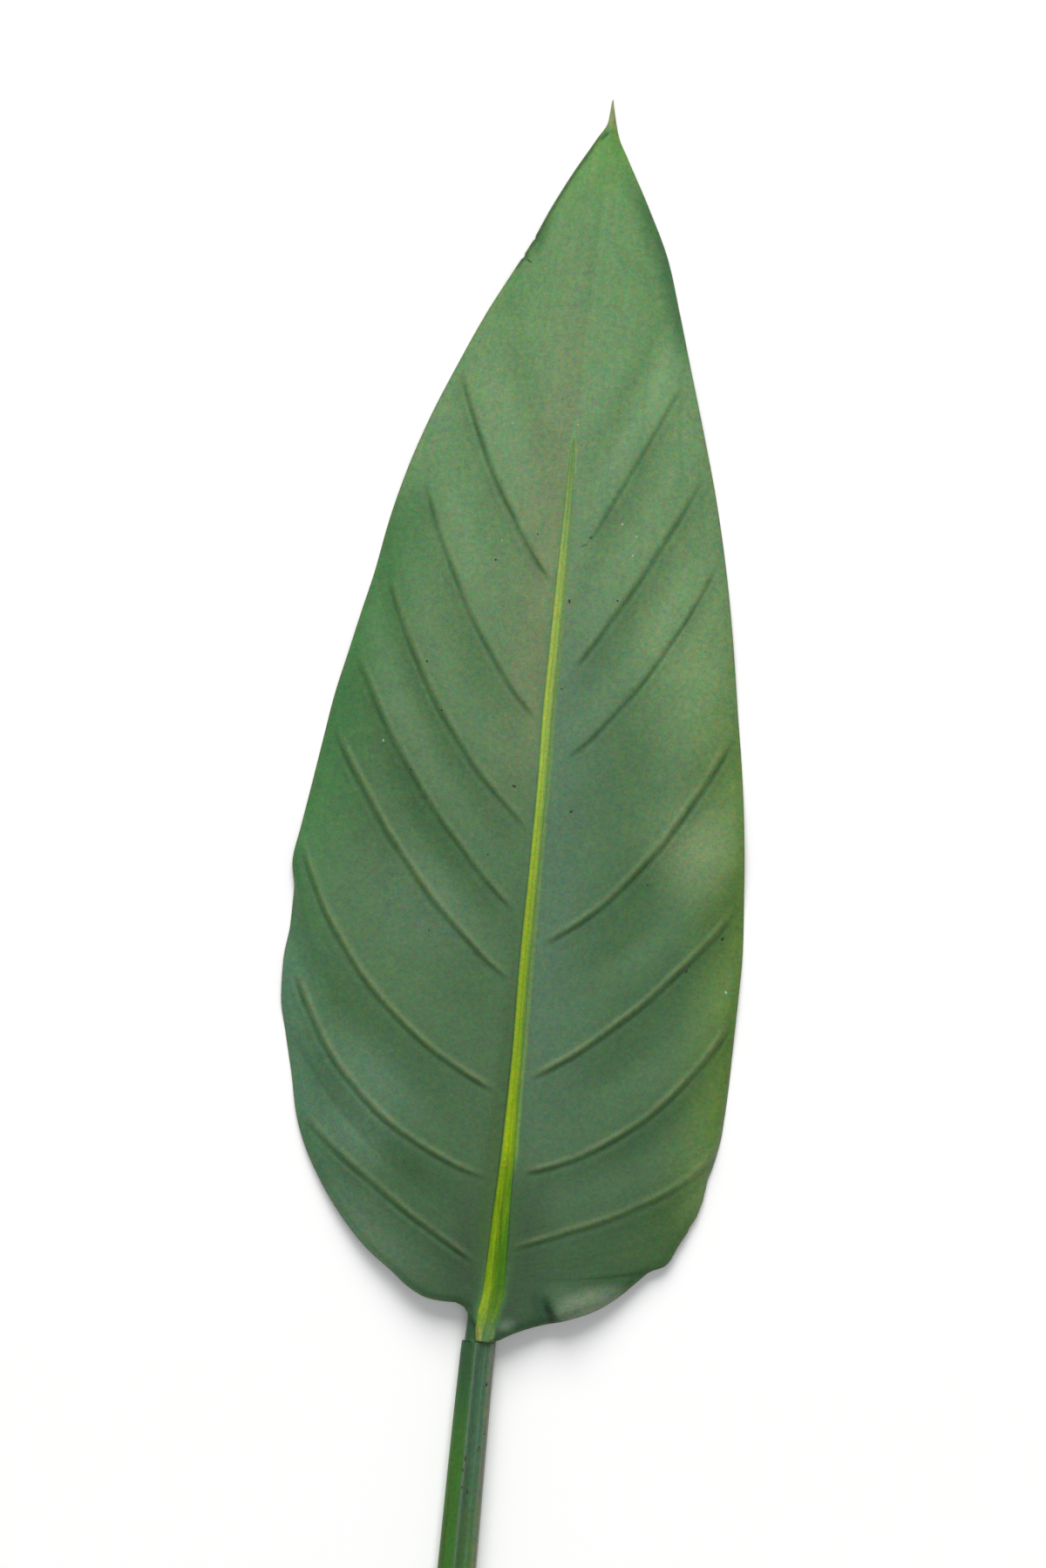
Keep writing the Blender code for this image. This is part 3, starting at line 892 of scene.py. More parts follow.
        # Painted shade on the left margin where it rolls under near the tip.
        coat.add(self.deep, g.smooth(g.reading("roll"), 0.0, 0.8), 0.7)
        coat.add(self.brown, g.smooth(edge, 0.5, 0.0), 0.35)
        mucro = g.smooth(y, 390.5, 395.5)
        coat.add(self.mucro, mucro, 0.7)
        coat.add(self.brown, mucro, g.smooth(x, 0.2, 1.2), 0.4)
        specks = use(g, effects.flecks, Point=point, Spacing=8.0, Size=0.45, Share=0.3)
        coat.add(self.deep, specks["Mask"], 0.5)
        grain = use(g, effects.grain, Colour=coat.colour, Point=point)
        g.feed(shader.inputs["Base Color"], grain["Colour"])

        rough = g.total(0.47, g.product(grain["Blotch"], 0.06), g.product(grain["Cloud"], 0.04))
        g.feed(shader.inputs["Roughness"], rough)
        height = g.total(g.product(fine["Height"], 0.4), g.product(grain["Height"], 0.6))
        bumped(g, shader, height, 0.00006)
        return material


@dataclass(frozen=True)
class UndersideFinish:
    """The blade's underside: paler, with a waxy grey bloom."""

    green: Colour = paint(104, 132, 92)
    bloom: Colour = paint(138, 158, 132)
    rib: Colour = paint(140, 158, 96)

    def material(self, effects: Effects) -> Material:
        """Builds the material.

        Args:
            effects: The shared groups.

        Returns:
            The finished material.
        """
        material, g, shader = skin("Blade underside", 0.6)
        point = g.millimetres()
        bloom = g.smooth(g.noise(point, 0.03, 3.0), 0.3, 0.7)
        coat = Coat(g, g.tint(bloom, self.green, self.bloom))
        fine = use(
            g, effects.fibres, Across=g.reading("root"), Along=g.product(g.reading("share"), 60.0),
            Spacing=0.55, Length=24.0, Seed=3.0,
        )
        coat.add(self.rib, fine["Streak"], 0.2)
        coat.add(self.rib, g.reading("vein_line"), 0.6)
        near_keel = g.smooth(g.reading("spine"), 5.0, 0.0)
        coat.add(self.rib, near_keel, 0.6)
        grain = use(g, effects.grain, Colour=coat.colour, Point=point, Strength=0.6)
        g.feed(shader.inputs["Base Color"], grain["Colour"])
        height = g.total(fine["Height"], g.product(grain["Height"], 0.5))
        bumped(g, shader, height, 0.00008)
        return material


@dataclass(frozen=True)
class MidribFinish:
    """The strip on the midrib: streaked, yellow on its left, green on its right, faded at ends."""

    yellow_stops: Stops = (
        (0.0, paint(138, 156, 86)), (0.012, paint(152, 169, 84)), (0.035, paint(141, 167, 46)),
        (0.07, paint(118, 147, 10)), (0.1, paint(118, 148, 2)), (0.18, paint(122, 150, 2)),
        (0.22, paint(146, 171, 10)), (0.33, paint(133, 159, 30)), (0.42, paint(138, 165, 36)),
        (0.52, paint(142, 167, 46)), (0.62, paint(150, 175, 66)), (0.81, paint(150, 170, 78)),
        (0.9, paint(130, 158, 86)), (1.0, paint(114, 146, 88)),
    )
    green_stops: Stops = (
        (0.0, paint(84, 118, 78)), (0.016, paint(92, 128, 76)), (0.035, paint(90, 127, 36)),
        (0.07, paint(64, 112, 14)), (0.1, paint(62, 112, 4)), (0.18, paint(88, 128, 14)),
        (0.22, paint(104, 140, 24)), (0.33, paint(98, 132, 42)), (0.42, paint(98, 130, 58)),
        (0.52, paint(110, 142, 62)), (0.62, paint(112, 144, 76)), (0.81, paint(112, 142, 80)),
        (1.0, paint(106, 140, 86)),
    )
    dark: Colour = paint(54, 94, 16)
    blade_green: Colour = paint(92, 128, 76)
    brown: Colour = paint(92, 88, 28)

    def material(self, effects: Effects) -> Material:
        """Builds the material.

        Args:
            effects: The shared groups.

        Returns:
            The finished material.
        """
        material, g, shader = skin("Midrib strip", 0.5, gloss=0.14)
        point = g.millimetres()
        _, y, _ = g.split(point)
        across = g.reading("across")
        coarse = use(g, effects.fibres, Across=g.product(across, 2.4), Along=y, Spacing=0.8,
                     Length=12.0, Seed=7.0)
        thin = use(g, effects.fibres, Across=g.product(across, 2.4), Along=y, Spacing=0.26,
                   Length=40.0, Seed=9.0)
        wander = g.product(g.math("SUBTRACT", coarse["Height"], 0.5), 0.9)
        place = g.math("ADD", across, wander)
        along_strip = g.math("DIVIDE", y, SLOT_LENGTH)
        yellow = g.ramp(along_strip, self.yellow_stops)
        green = g.ramp(along_strip, self.green_stops)
        low = g.smooth(y, 70.0, 50.0)
        right = g.mix(low, g.smooth(place, 0.0, 1.0), g.smooth(place, -0.45, 0.3))
        coat = Coat(g, g.tint(right, yellow, green))
        lit = g.product(g.bell(place, 0.5, 0.25), g.smooth(y, 32.0, 42.0), low)
        coat.add(yellow, lit, 0.55)
        coat.add(self.dark, coarse["Streak"], low, 0.45)
        coat.add(self.dark, thin["Streak"], 0.14)
        left_low = g.product(g.smooth(place, -0.45, -0.9), g.smooth(y, 12.0, 3.0))
        coat.add(self.brown, left_low, 0.5)
        side = g.product(g.smooth(across, -0.6, -1.0), g.smooth(y, 52.0, 66.0))
        other = g.product(g.smooth(across, 0.4, 1.0), g.smooth(y, 200.0, 265.0))
        coat.add(self.blade_green, g.math("MAXIMUM", side, other), 0.6)
        fading = g.smooth(y, 262.0, 290.0)
        coat.add(self.blade_green, fading, 0.5)
        grain = use(g, effects.grain, Colour=coat.colour, Point=point, Speckle_Size=1.2,
                    Strength=0.8)
        g.feed(shader.inputs["Base Color"], grain["Colour"])
        height = g.total(thin["Height"], g.product(coarse["Height"], 0.8))
        bumped(g, shader, height, 0.00012)
        return material


@dataclass(frozen=True)
class StalkFinish:
    """The stalk: bright green on its left facet, blue-grey on its right, browner at its edge."""

    left: Colour = paint(44, 104, 8)
    right: Colour = paint(61, 97, 70)
    right_low: Colour = paint(61, 103, 48)
    arris: Colour = paint(104, 124, 104)
    streak: Colour = paint(58, 68, 26)
    edge: Colour = paint(116, 108, 94)
    under: Colour = paint(104, 128, 84)
    ear: Colour = paint(22, 62, 42)

    def material(self, effects: Effects) -> Material:
        """Builds the material.

        Args:
            effects: The shared groups.

        Returns:
            The finished material.
        """
        material, g, shader = skin("Stalk skin", 0.5)
        point = g.millimetres()
        _, y, _ = g.split(point)
        across, crest = g.reading("across"), g.reading("crest")
        skin_place = g.reading("from_middle")
        broad = use(
            g, effects.fibres, Across=skin_place, Along=y, Spacing=1.3, Length=40.0, Seed=1.0
        )
        thin = use(
            g, effects.fibres, Across=skin_place, Along=y, Spacing=0.35, Length=26.0, Seed=5.0
        )
        place = g.math("ADD", across, g.product(g.math("SUBTRACT", broad["Height"], 0.5), 0.35))
        right = g.tint(g.smooth(y, -30.0, -80.0), self.right, self.right_low)
        coat = Coat(g, g.tint(g.smooth(place, -0.34, -0.08), self.left, right))
        # Painted shade in dark teal on the left of the stalk and keel, next to the blade's base.
        joint_shade = g.product(g.smooth(y, -42.0, -4.0), g.smooth(place, 0.0, -0.5))
        coat.add(self.ear, joint_shade, 0.75)
        coat.add(self.streak, broad["Streak"], 0.22)
        coat.add(self.arris, thin["Streak"], 0.1)
        line = g.product(g.bell(across, -0.12, 0.07), g.smooth(y, -110.0, -40.0), crest)
        coat.add(self.arris, line, 0.5)
        band = g.product(g.smooth(place, 0.5, 0.95), crest)
        coat.add(self.edge, band, 0.55)
        rim = g.product(g.bell(place, -0.8, 0.09), g.smooth(y, -20.0, -60.0), crest)
        coat.add(self.streak, rim, 0.55)
        low = g.math("SUBTRACT", 1.0, crest)
        coat.add(self.under, low, 0.55)
        long_place = g.join(skin_place, g.math("DIVIDE", y, 3.0), 0.0)
        specks = use(g, effects.flecks, Point=long_place, Spacing=2.4, Size=0.4, Share=0.3)
        coat.add(self.streak, specks["Mask"], 0.7)
        grain = use(g, effects.grain, Colour=coat.colour, Point=point, Blotch_Size=4.0)
        g.feed(shader.inputs["Base Color"], grain["Colour"])
        g.feed(shader.inputs["Roughness"], g.total(0.46, g.product(grain["Blotch"], 0.08)))
        height = g.total(thin["Height"], g.product(broad["Height"], 0.8))
        bumped(g, shader, height, 0.00016)
        return material


@dataclass(frozen=True)
class CutFinish:
    """The cut end: pale wet flesh with a darker skin round it."""

    flesh: Colour = paint(168, 178, 118)
    pith: Colour = paint(196, 200, 152)
    rim: Colour = paint(84, 112, 60)
    dried: Colour = paint(128, 112, 66)

    def material(self, effects: Effects) -> Material:
        """Builds the material.

        Args:
            effects: The shared groups.

        Returns:
            The finished material.
        """
        material, g, shader = skin("Cut flesh", 0.38)
        point = g.millimetres()
        inwards = g.reading("inwards")
        coat = Coat(g, g.tint(g.smooth(inwards, 0.1, 0.8), self.flesh, self.pith))
        coat.add(self.rim, g.smooth(inwards, 0.12, 0.02))
        pores = use(g, effects.flecks, Point=point, Spacing=0.75, Size=0.32, Share=0.8)
        coat.add(self.rim, pores["Mask"], 0.55)
        stain = g.product(g.smooth(g.noise(point, 0.17), 0.4, 0.7), 0.6)
        coat.add(self.dried, stain)
        grain = use(g, effects.grain, Colour=coat.colour, Point=point, Speckle_Size=1.0,
                    Grain_Size=0.3, Strength=0.5)
        g.feed(shader.inputs["Base Color"], grain["Colour"])
        height = g.math("SUBTRACT", grain["Height"], g.product(pores["Mask"], 1.2))
        bumped(g, shader, height, 0.00015)
        return material


@dataclass(frozen=True)
class FleckFinish:
    """Small flecks on the skin, or fibre ends in the cut."""

    name: str
    colour: Colour
    second: Colour
    roughness: float

    def material(self, effects: Effects) -> Material:
        """Builds the material.

        Args:
            effects: The shared groups.

        Returns:
            The finished material.
        """
        material, g, shader = skin(self.name, self.roughness)
        point = g.millimetres()
        colour = g.tint(g.noise(point, 0.8), self.colour, self.second)
        grain = use(g, effects.grain, Colour=colour, Point=point, Grain_Size=0.2, Strength=0.5)
        g.feed(shader.inputs["Base Color"], grain["Colour"])
        bumped(g, shader, grain["Height"], 0.00004)
        return material


@dataclass(frozen=True)
class FloorFinish:
    """Plain pale studio floor."""

    pale: Colour = paint(246, 246, 246)
    second: Colour = paint(240, 241, 240)

    def material(self) -> Material:
        """Builds the material.

        Returns:
            The finished material.
        """
        material, g, shader = skin("Studio floor", 0.9, gloss=0.2)
        drift = g.noise(g.millimetres(), 0.004, 1.0)
        colour = g.tint(g.product(drift, 0.1), self.pale, self.second)
        g.feed(shader.inputs["Base Color"], colour)
        return material


class Growth:
    """Geometry Nodes trees that make the leaf's forms from plain guides."""

    @staticmethod
    def _named(g: Graph, name: str, kind: str = "FLOAT") -> Socket:
        """A reading of a named attribute."""
        return g.first("GeometryNodeInputNamedAttribute", {"Name": name}, data_type=kind)

    @staticmethod
    def _stored(g: Graph, geometry: Socket, name: str, value: Source) -> Socket:
        """Keeps a number on every point."""
        sources = {"Geometry": geometry, "Name": name, "Value": value}
        return g.first("GeometryNodeStoreNamedAttribute", sources, data_type="FLOAT")

    @staticmethod
    def _guide(g: Graph, target: Socket) -> Socket:
        """The mesh of a guide object."""
        return g.node("GeometryNodeObjectInfo", {"Object": target}).outputs["Geometry"]

    @staticmethod
    def _sampled(g: Graph, guide: Socket, value: Socket, index: Socket, kind: str) -> Socket:
        """A guide's value at one of its points."""
        sources = {"Geometry": guide, "Value": value, "Index": index}
        return g.first("GeometryNodeSampleIndex", sources, data_type=kind, domain="POINT")

    @staticmethod
    def _skinned(g: Graph, geometry: Socket, skin_input: Socket, smooth: bool = True) -> Socket:
        """Ends a tree.

        Args:
            g: The tree's graph.
            geometry: What the tree has made.
            skin_input: The material.
            smooth: Whether the result is shaded smooth.

        Returns:
            Plain geometry without instances, in its material.
        """
        if smooth:
            geometry = g.first("GeometryNodeSetShadeSmooth", {0: geometry})
        real = g.first("GeometryNodeRealizeInstances", {0: geometry})
        return g.first("GeometryNodeSetMaterial", {"Geometry": real, "Material": skin_input})

    def vein_relief(self) -> Tree:
        """Raises a rib along each vein of a blade, with a fine ditch below it, and stores where the
        skin paints shade below the rib and light on its upper flank.

        Returns:
            The tree, whose sizes are in metres.
        """
        inputs = {
            "Blade": (GEOMETRY, None), "Veins": (OBJECT, None), "Rib Height": (NUMBER, 0.0004),
            "Rib Width": (NUMBER, 0.0007), "Ditch Depth": (NUMBER, 0.0003),
            "Ditch Place": (NUMBER, 0.0011), "Ditch Width": (NUMBER, 0.0006),
            "Whole Within": (NUMBER, 0.006), "Gone Beyond": (NUMBER, 0.009),
            "Lowest Under": (NUMBER, 0.00003), "Lowest Upper": (NUMBER, 0.00035),
            "Upper Skin": (MATERIAL, None), "Under Skin": (MATERIAL, None),
        }
        outputs = {"Blade": GEOMETRY}
        g, given, taken = group_tree("Vein relief", "GeometryNodeTree", inputs, outputs)
        veins = self._guide(g, given["Veins"])
        place = g.first("GeometryNodeInputPosition")
        near = g.node("GeometryNodeProximity", {0: veins}, target_element="EDGES")
        nearest = g.first("GeometryNodeSampleNearest", {"Geometry": veins}, domain="POINT")
        rib_strength = self._sampled(g, veins, self._named(g, "rib"), nearest, "FLOAT")
        ditch_strength = self._sampled(g, veins, self._named(g, "ditch"), nearest, "FLOAT")
        tipward = self._sampled(
            g, veins, self._named(g, "tipward", "FLOAT_VECTOR"), nearest, "FLOAT_VECTOR"
        )
        away = g.vector("SUBTRACT", place, near.outputs["Position"])
        above = g.vector("DOT_PRODUCT", away, tipward, output="Value")
        within = g.smooth(near.outputs["Distance"], given["Gone Beyond"], given["Whole Within"])
        below = g.product(given["Ditch Place"], -1.0)
        rib = g.product(g.bell(above, 0.0, given["Rib Width"]), rib_strength, within)
        ditch = g.product(g.bell(above, below, given["Ditch Width"]), ditch_strength, within)
        # Painted shade: the ditch's dark line and a softer, wider band below it; painted light: a
        # line on the rib's upper flank.
        soft = g.bell(above, g.product(below, 1.9), g.product(given["Ditch Width"], 2.2))
        shade = g.math("MAXIMUM", ditch, g.product(soft, ditch_strength, within, 0.34))
        light = g.bell(above, g.product(given["Rib Width"], 0.15), given["Rib Width"])
        marked = self._stored(
            g, given["Blade"], "vein_line", g.product(light, rib_strength, within)
        )
        marked = self._stored(g, marked, "vein_shade", shade)
        lift = g.math(
            "SUBTRACT", g.product(given["Rib Height"], rib), g.product(given["Ditch Depth"], ditch)
        )
        upper = self._named(g, "upper")
        x, y, z = g.split(place)
        lowest = g.mix(upper, given["Lowest Under"], given["Lowest Upper"])
        height = g.math("MAXIMUM", g.math("ADD", z, lift), lowest)
        sources = {"Geometry": marked, "Position": g.join(x, y, height)}
        raised = g.first("GeometryNodeSetPosition", sources)
        sources = {
            "Geometry": self._skinned(g, raised, given["Under Skin"]),
            "Selection": g.math("GREATER_THAN", upper, 0.4), "Material": given["Upper Skin"],
        }
        done = g.first("GeometryNodeSetMaterial", sources)
        g.feed(taken["Blade"], done)
        return g.tree

    def sweep(self) -> Tree:
        """Sweeps a section along a rail, on which its width and heights change.

        Returns:
            The tree.
        """
        inputs = {
            "Guide": (GEOMETRY, None), "Rail": (OBJECT, None), "Section": (OBJECT, None),
            "Skin": (MATERIAL, None),
        }
        outputs = {"Body": GEOMETRY}
        g, given, taken = group_tree("Sweep along rail", "GeometryNodeTree", inputs, outputs)
        rail, section = self._guide(g, given["Rail"]), self._guide(g, given["Section"])
        stations = g.node("GeometryNodeAttributeDomainSize", {0: rail}).outputs["Point Count"]
        corners = g.node("GeometryNodeAttributeDomainSize", {0: section}).outputs["Point Count"]
        segments = g.math("SUBTRACT", stations, 1.0)
        tube = g.node(
            "GeometryNodeMeshCylinder", {"Vertices": corners, "Side Segments": segments},
            fill_type="NGON",
        ).outputs["Mesh"]
        index = g.first("GeometryNodeInputIndex")
        station = g.math("FLOOR", g.math("DIVIDE", g.math("ADD", index, 0.25), corners))
        corner = g.math("SUBTRACT", index, g.math("MULTIPLY", station, corners))

        def at_station(name: str) -> Socket:
            """A number of the rail, where the point lies along it."""
            return self._sampled(g, rail, self._named(g, name), station, "FLOAT")

        def at_corner(name: str) -> Socket:
            """A number of the section, where the point lies round it."""
            return self._sampled(g, section, self._named(g, name), corner, "FLOAT")

        middle, half_width = at_station("middle"), at_station("half_width")
        distance, bottom = at_station("distance"), at_station("bottom")
        shoulder, top = at_station("shoulder"), at_station("top")
        across = at_corner("across")
        rise = g.mix(at_station("under_blade"), at_corner("rise"), at_corner("rise_under_blade"))
        x_off = g.product(half_width, across)
        up = g.product(rise, g.math("SUBTRACT", top, shoulder))
        down = g.product(at_corner("fall"), g.math("SUBTRACT", shoulder, bottom))
        height = g.math("SUBTRACT", g.math("ADD", shoulder, up), down)
        height = g.math("MAXIMUM", height, bottom)
        place = g.join(g.math("ADD", middle, x_off), distance, height)
        body = tube
        for name, value in (
            ("across", across), ("crest", at_corner("crest")),
            ("from_middle", g.product(g.math("ADD", x_off, g.product(height, 0.6)), 1 / MM)),
        ):
            body = self._stored(g, body, name, value)
        shaped = g.first("GeometryNodeSetPosition", {"Geometry": body, "Position": place})
        done = self._skinned(g, shaped, given["Skin"])
        g.feed(taken["Body"], done)
        return g.tree

    def flecks(self) -> Tree:
        """Drops small flat flecks from above on a surface.

        Returns:
            The tree.
        """
        inputs = {
            "Places": (GEOMETRY, None), "Surface": (OBJECT, None), "Fall": (NUMBER, 0.2),
            "Flatness": (NUMBER, 0.3), "Skin": (MATERIAL, None),
        }
        outputs = {"Flecks": GEOMETRY}
        g, given, taken = group_tree("Flecks on skin", "GeometryNodeTree", inputs, outputs)
        surface = self._guide(g, given["Surface"])
        sources = {
            "Target Geometry": surface, "Ray Direction": (0.0, 0.0, -1.0),
            "Ray Length": given["Fall"],
        }
        hit = g.node("GeometryNodeRaycast", sources).outputs
        sources = {"Geometry": given["Places"], "Name": "facing", "Value": hit["Hit Normal"]}
        kept = g.first("GeometryNodeStoreNamedAttribute", sources, data_type="FLOAT_VECTOR")
        sources = {"Geometry": kept, "Position": hit["Hit Position"]}
        laid = g.first("GeometryNodeSetPosition", sources)
        ball = g.first("GeometryNodeMeshIcoSphere", {"Radius": 1.0, "Subdivisions": 2})
        size, stretch = self._named(g, "size"), self._named(g, "stretch")
        turn = g.join(0.0, 0.0, self._named(g, "turn"))
        spin = g.first("FunctionNodeEulerToRotation", {0: turn})
        sources = {"Rotation": spin, "Vector": self._named(g, "facing", "FLOAT_VECTOR")}
        upright = g.first("FunctionNodeAlignRotationToVector", sources, axis="Z")
        scale = g.join(size, g.product(size, stretch), g.product(size, given["Flatness"]))
        sources = {"Points": laid, "Instance": ball, "Rotation": upright, "Scale": scale}
        copies = g.first("GeometryNodeInstanceOnPoints", sources)
        done = self._skinned(g, copies, given["Skin"])
        g.feed(taken["Flecks"], done)
        return g.tree

    def cut_fibres(self) -> Tree:
        """Stands the ends of fibres in a cut face, with a fixed seed.

        Returns:
            The tree, whose sizes are in metres.
        """
        inputs = {
            "Face": (GEOMETRY, None), "Spacing": (NUMBER, 0.0008), "Radius": (NUMBER, 0.00016),
            "Length": (NUMBER, 0.0003), "Most": (NUMBER, 3.0e6), "Sides": (WHOLE, 9),
            "Thinnest": (NUMBER, 0.6), "Thickest": (NUMBER, 1.35), "Seed": (WHOLE, 4),
            "Skin": (MATERIAL, None),
        }
        outputs = {"Fibres": GEOMETRY}
        g, given, taken = group_tree("Fibre ends", "GeometryNodeTree", inputs, outputs)
        inner = self._named(g, "inwards")
        front = g.math("GREATER_THAN", inner, 0.12)
        sources = {
            "Mesh": given["Face"], "Selection": front, "Distance Min": given["Spacing"],
            "Density Max": given["Most"], "Seed": given["Seed"],
        }
        spots = g.node(
            "GeometryNodeDistributePointsOnFaces", sources, distribute_method="POISSON"
        ).outputs
        sources = {
            "Vertices": given["Sides"], "Radius": given["Radius"], "Depth": given["Length"],
        }
        stub = g.first("GeometryNodeMeshCylinder", sources, fill_type="TRIANGLE_FAN")
        scale = g.node("FunctionNodeRandomValue", data_type="FLOAT")
        for key, output in ((2, "Thinnest"), (3, "Thickest")):
            g.feed(scale.inputs[key], given[output])
        g.feed(scale.inputs["Seed"], given["Seed"])
        sources = {
            "Points": spots["Points"], "Instance": stub, "Rotation": spots["Rotation"],
            "Scale": scale.outputs[1],
        }
        copies = g.first("GeometryNodeInstanceOnPoints", sources)
        done = self._skinned(g, copies, given["Skin"], smooth=False)
        g.feed(taken["Fibres"], done)
        return g.tree


def new_piece(name: str, vertices: np.ndarray, faces: Sequence, edges: Sequence = ()) -> Object:
    """Makes an object from points and faces.

    Args:
        name: The object's name.
        vertices: Points in millimetres, one a row.
        faces: Lists of point numbers.
        edges: Pairs of point numbers, for a guide without faces.

    Returns:
        The new object at the origin.
    """
    mesh = bpy.data.meshes.new(name)
    mesh.from_pydata((np.asarray(vertices) * MM).tolist(), list(edges), list(faces))
    mesh.update()
    piece = bpy.data.objects.new(name, mesh)
    bpy.context.scene.collection.objects.link(piece)
    return piece


def mark(piece: Object, **values: np.ndarray) -> None:
    """Keeps numbers, or vectors of three, on a mesh's points.

    Args:
        piece: The object.
        **values: One array for each attribute, with a row for each point.
    """
    for name, value in values.items():
        value = np.asarray(value, dtype=np.float32)
        is_vector = value.ndim == 2
        kind, key = ("FLOAT_VECTOR", "vector") if is_vector else ("FLOAT", "value")
        layer = piece.data.attributes.new(name, kind, "POINT")
        layer.data.foreach_set(key, np.ascontiguousarray(value).ravel())


def grow(piece: Object, tree: Tree, **inputs: Source) -> Object:
    """Runs a Geometry Nodes tree on a piece and keeps its result as a plain mesh.

    Args:
        piece: The object that the tree starts from.
        tree: The tree.
        **inputs: Values of the tree's inputs, with _ for each space of their names.

    Returns:
        The same object, with the tree's result as its mesh and no modifier.
    """
    modifier = piece.modifiers.new(tree.name, "NODES")
    modifier.node_group = tree
    sockets = {
        item.name: item.identifier
        for item in tree.interface.items_tree
        if item.item_type == "SOCKET" and item.in_out == "INPUT"
    }
    for key, value in inputs.items():
        modifier[sockets[key.replace("_", " ")]] = value
    depsgraph = bpy.context.evaluated_depsgraph_get()
    depsgraph.update()
    grown = bpy.data.meshes.new_from_object(
        piece.evaluated_get(depsgraph), preserve_all_data_layers=True, depsgraph=depsgraph
    )
    piece.modifiers.remove(modifier)
    spent = piece.data
    piece.data = grown
    bpy.data.meshes.remove(spent)
    grown.name = piece.name
    return piece


def keep(piece: Object, slot: Slot, *nodes: str) -> None:
    """Hands a finished piece to the frame.

    Args:
        piece: The finished object.
        slot: The record's material slot for it, which is only logged.
        *nodes: CAD nodes that it stands for.
    """
    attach(piece, BODY)
    if nodes:
        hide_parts(*nodes)
    triangles = sum(len(face.vertices) - 2 for face in piece.data.polygons)
    LOG.info("%s: %d triangles, slot %s, stands for %s", piece.name, triangles, slot.value,
             nodes or "no node")


def drop(*guides: Object) -> None:
    """Deletes guides that have done their work."""
    for guide in guides:
        bpy.data.objects.remove(guide, do_unlink=True)


@dataclass
class Spine:
    """The midrib's course: where the strip lies, how wide its slot is, and how high it runs."""

    strip: Curve = field(default_factory=lambda: Curve(STRIP))
    height: Curve = field(default_factory=lambda: Curve(SPINE_HEIGHT))

    def middle(self, root: np.ndarray) -> np.ndarray:
        """Sideways place of the strip's middle."""
        return self.strip(root)[..., 0]

    def half_width(self, root: np.ndarray) -> np.ndarray:
        """Half the slot between the blade's halves, which the strip fills."""
        taper = np.clip((SLOT_LENGTH - root) / SLOT_TAPER, 0.0, 1.0)
        return self.strip(np.minimum(root, SLOT_LENGTH - SLOT_TAPER))[..., 1] * taper


def edge_thinning(edge: np.ndarray) -> np.ndarray:
    """How much the sheet's upper face drops, and the sheet thins, towards its margin."""
    return EDGE_THINNING * ease(1 - edge / EDGE_REACH)


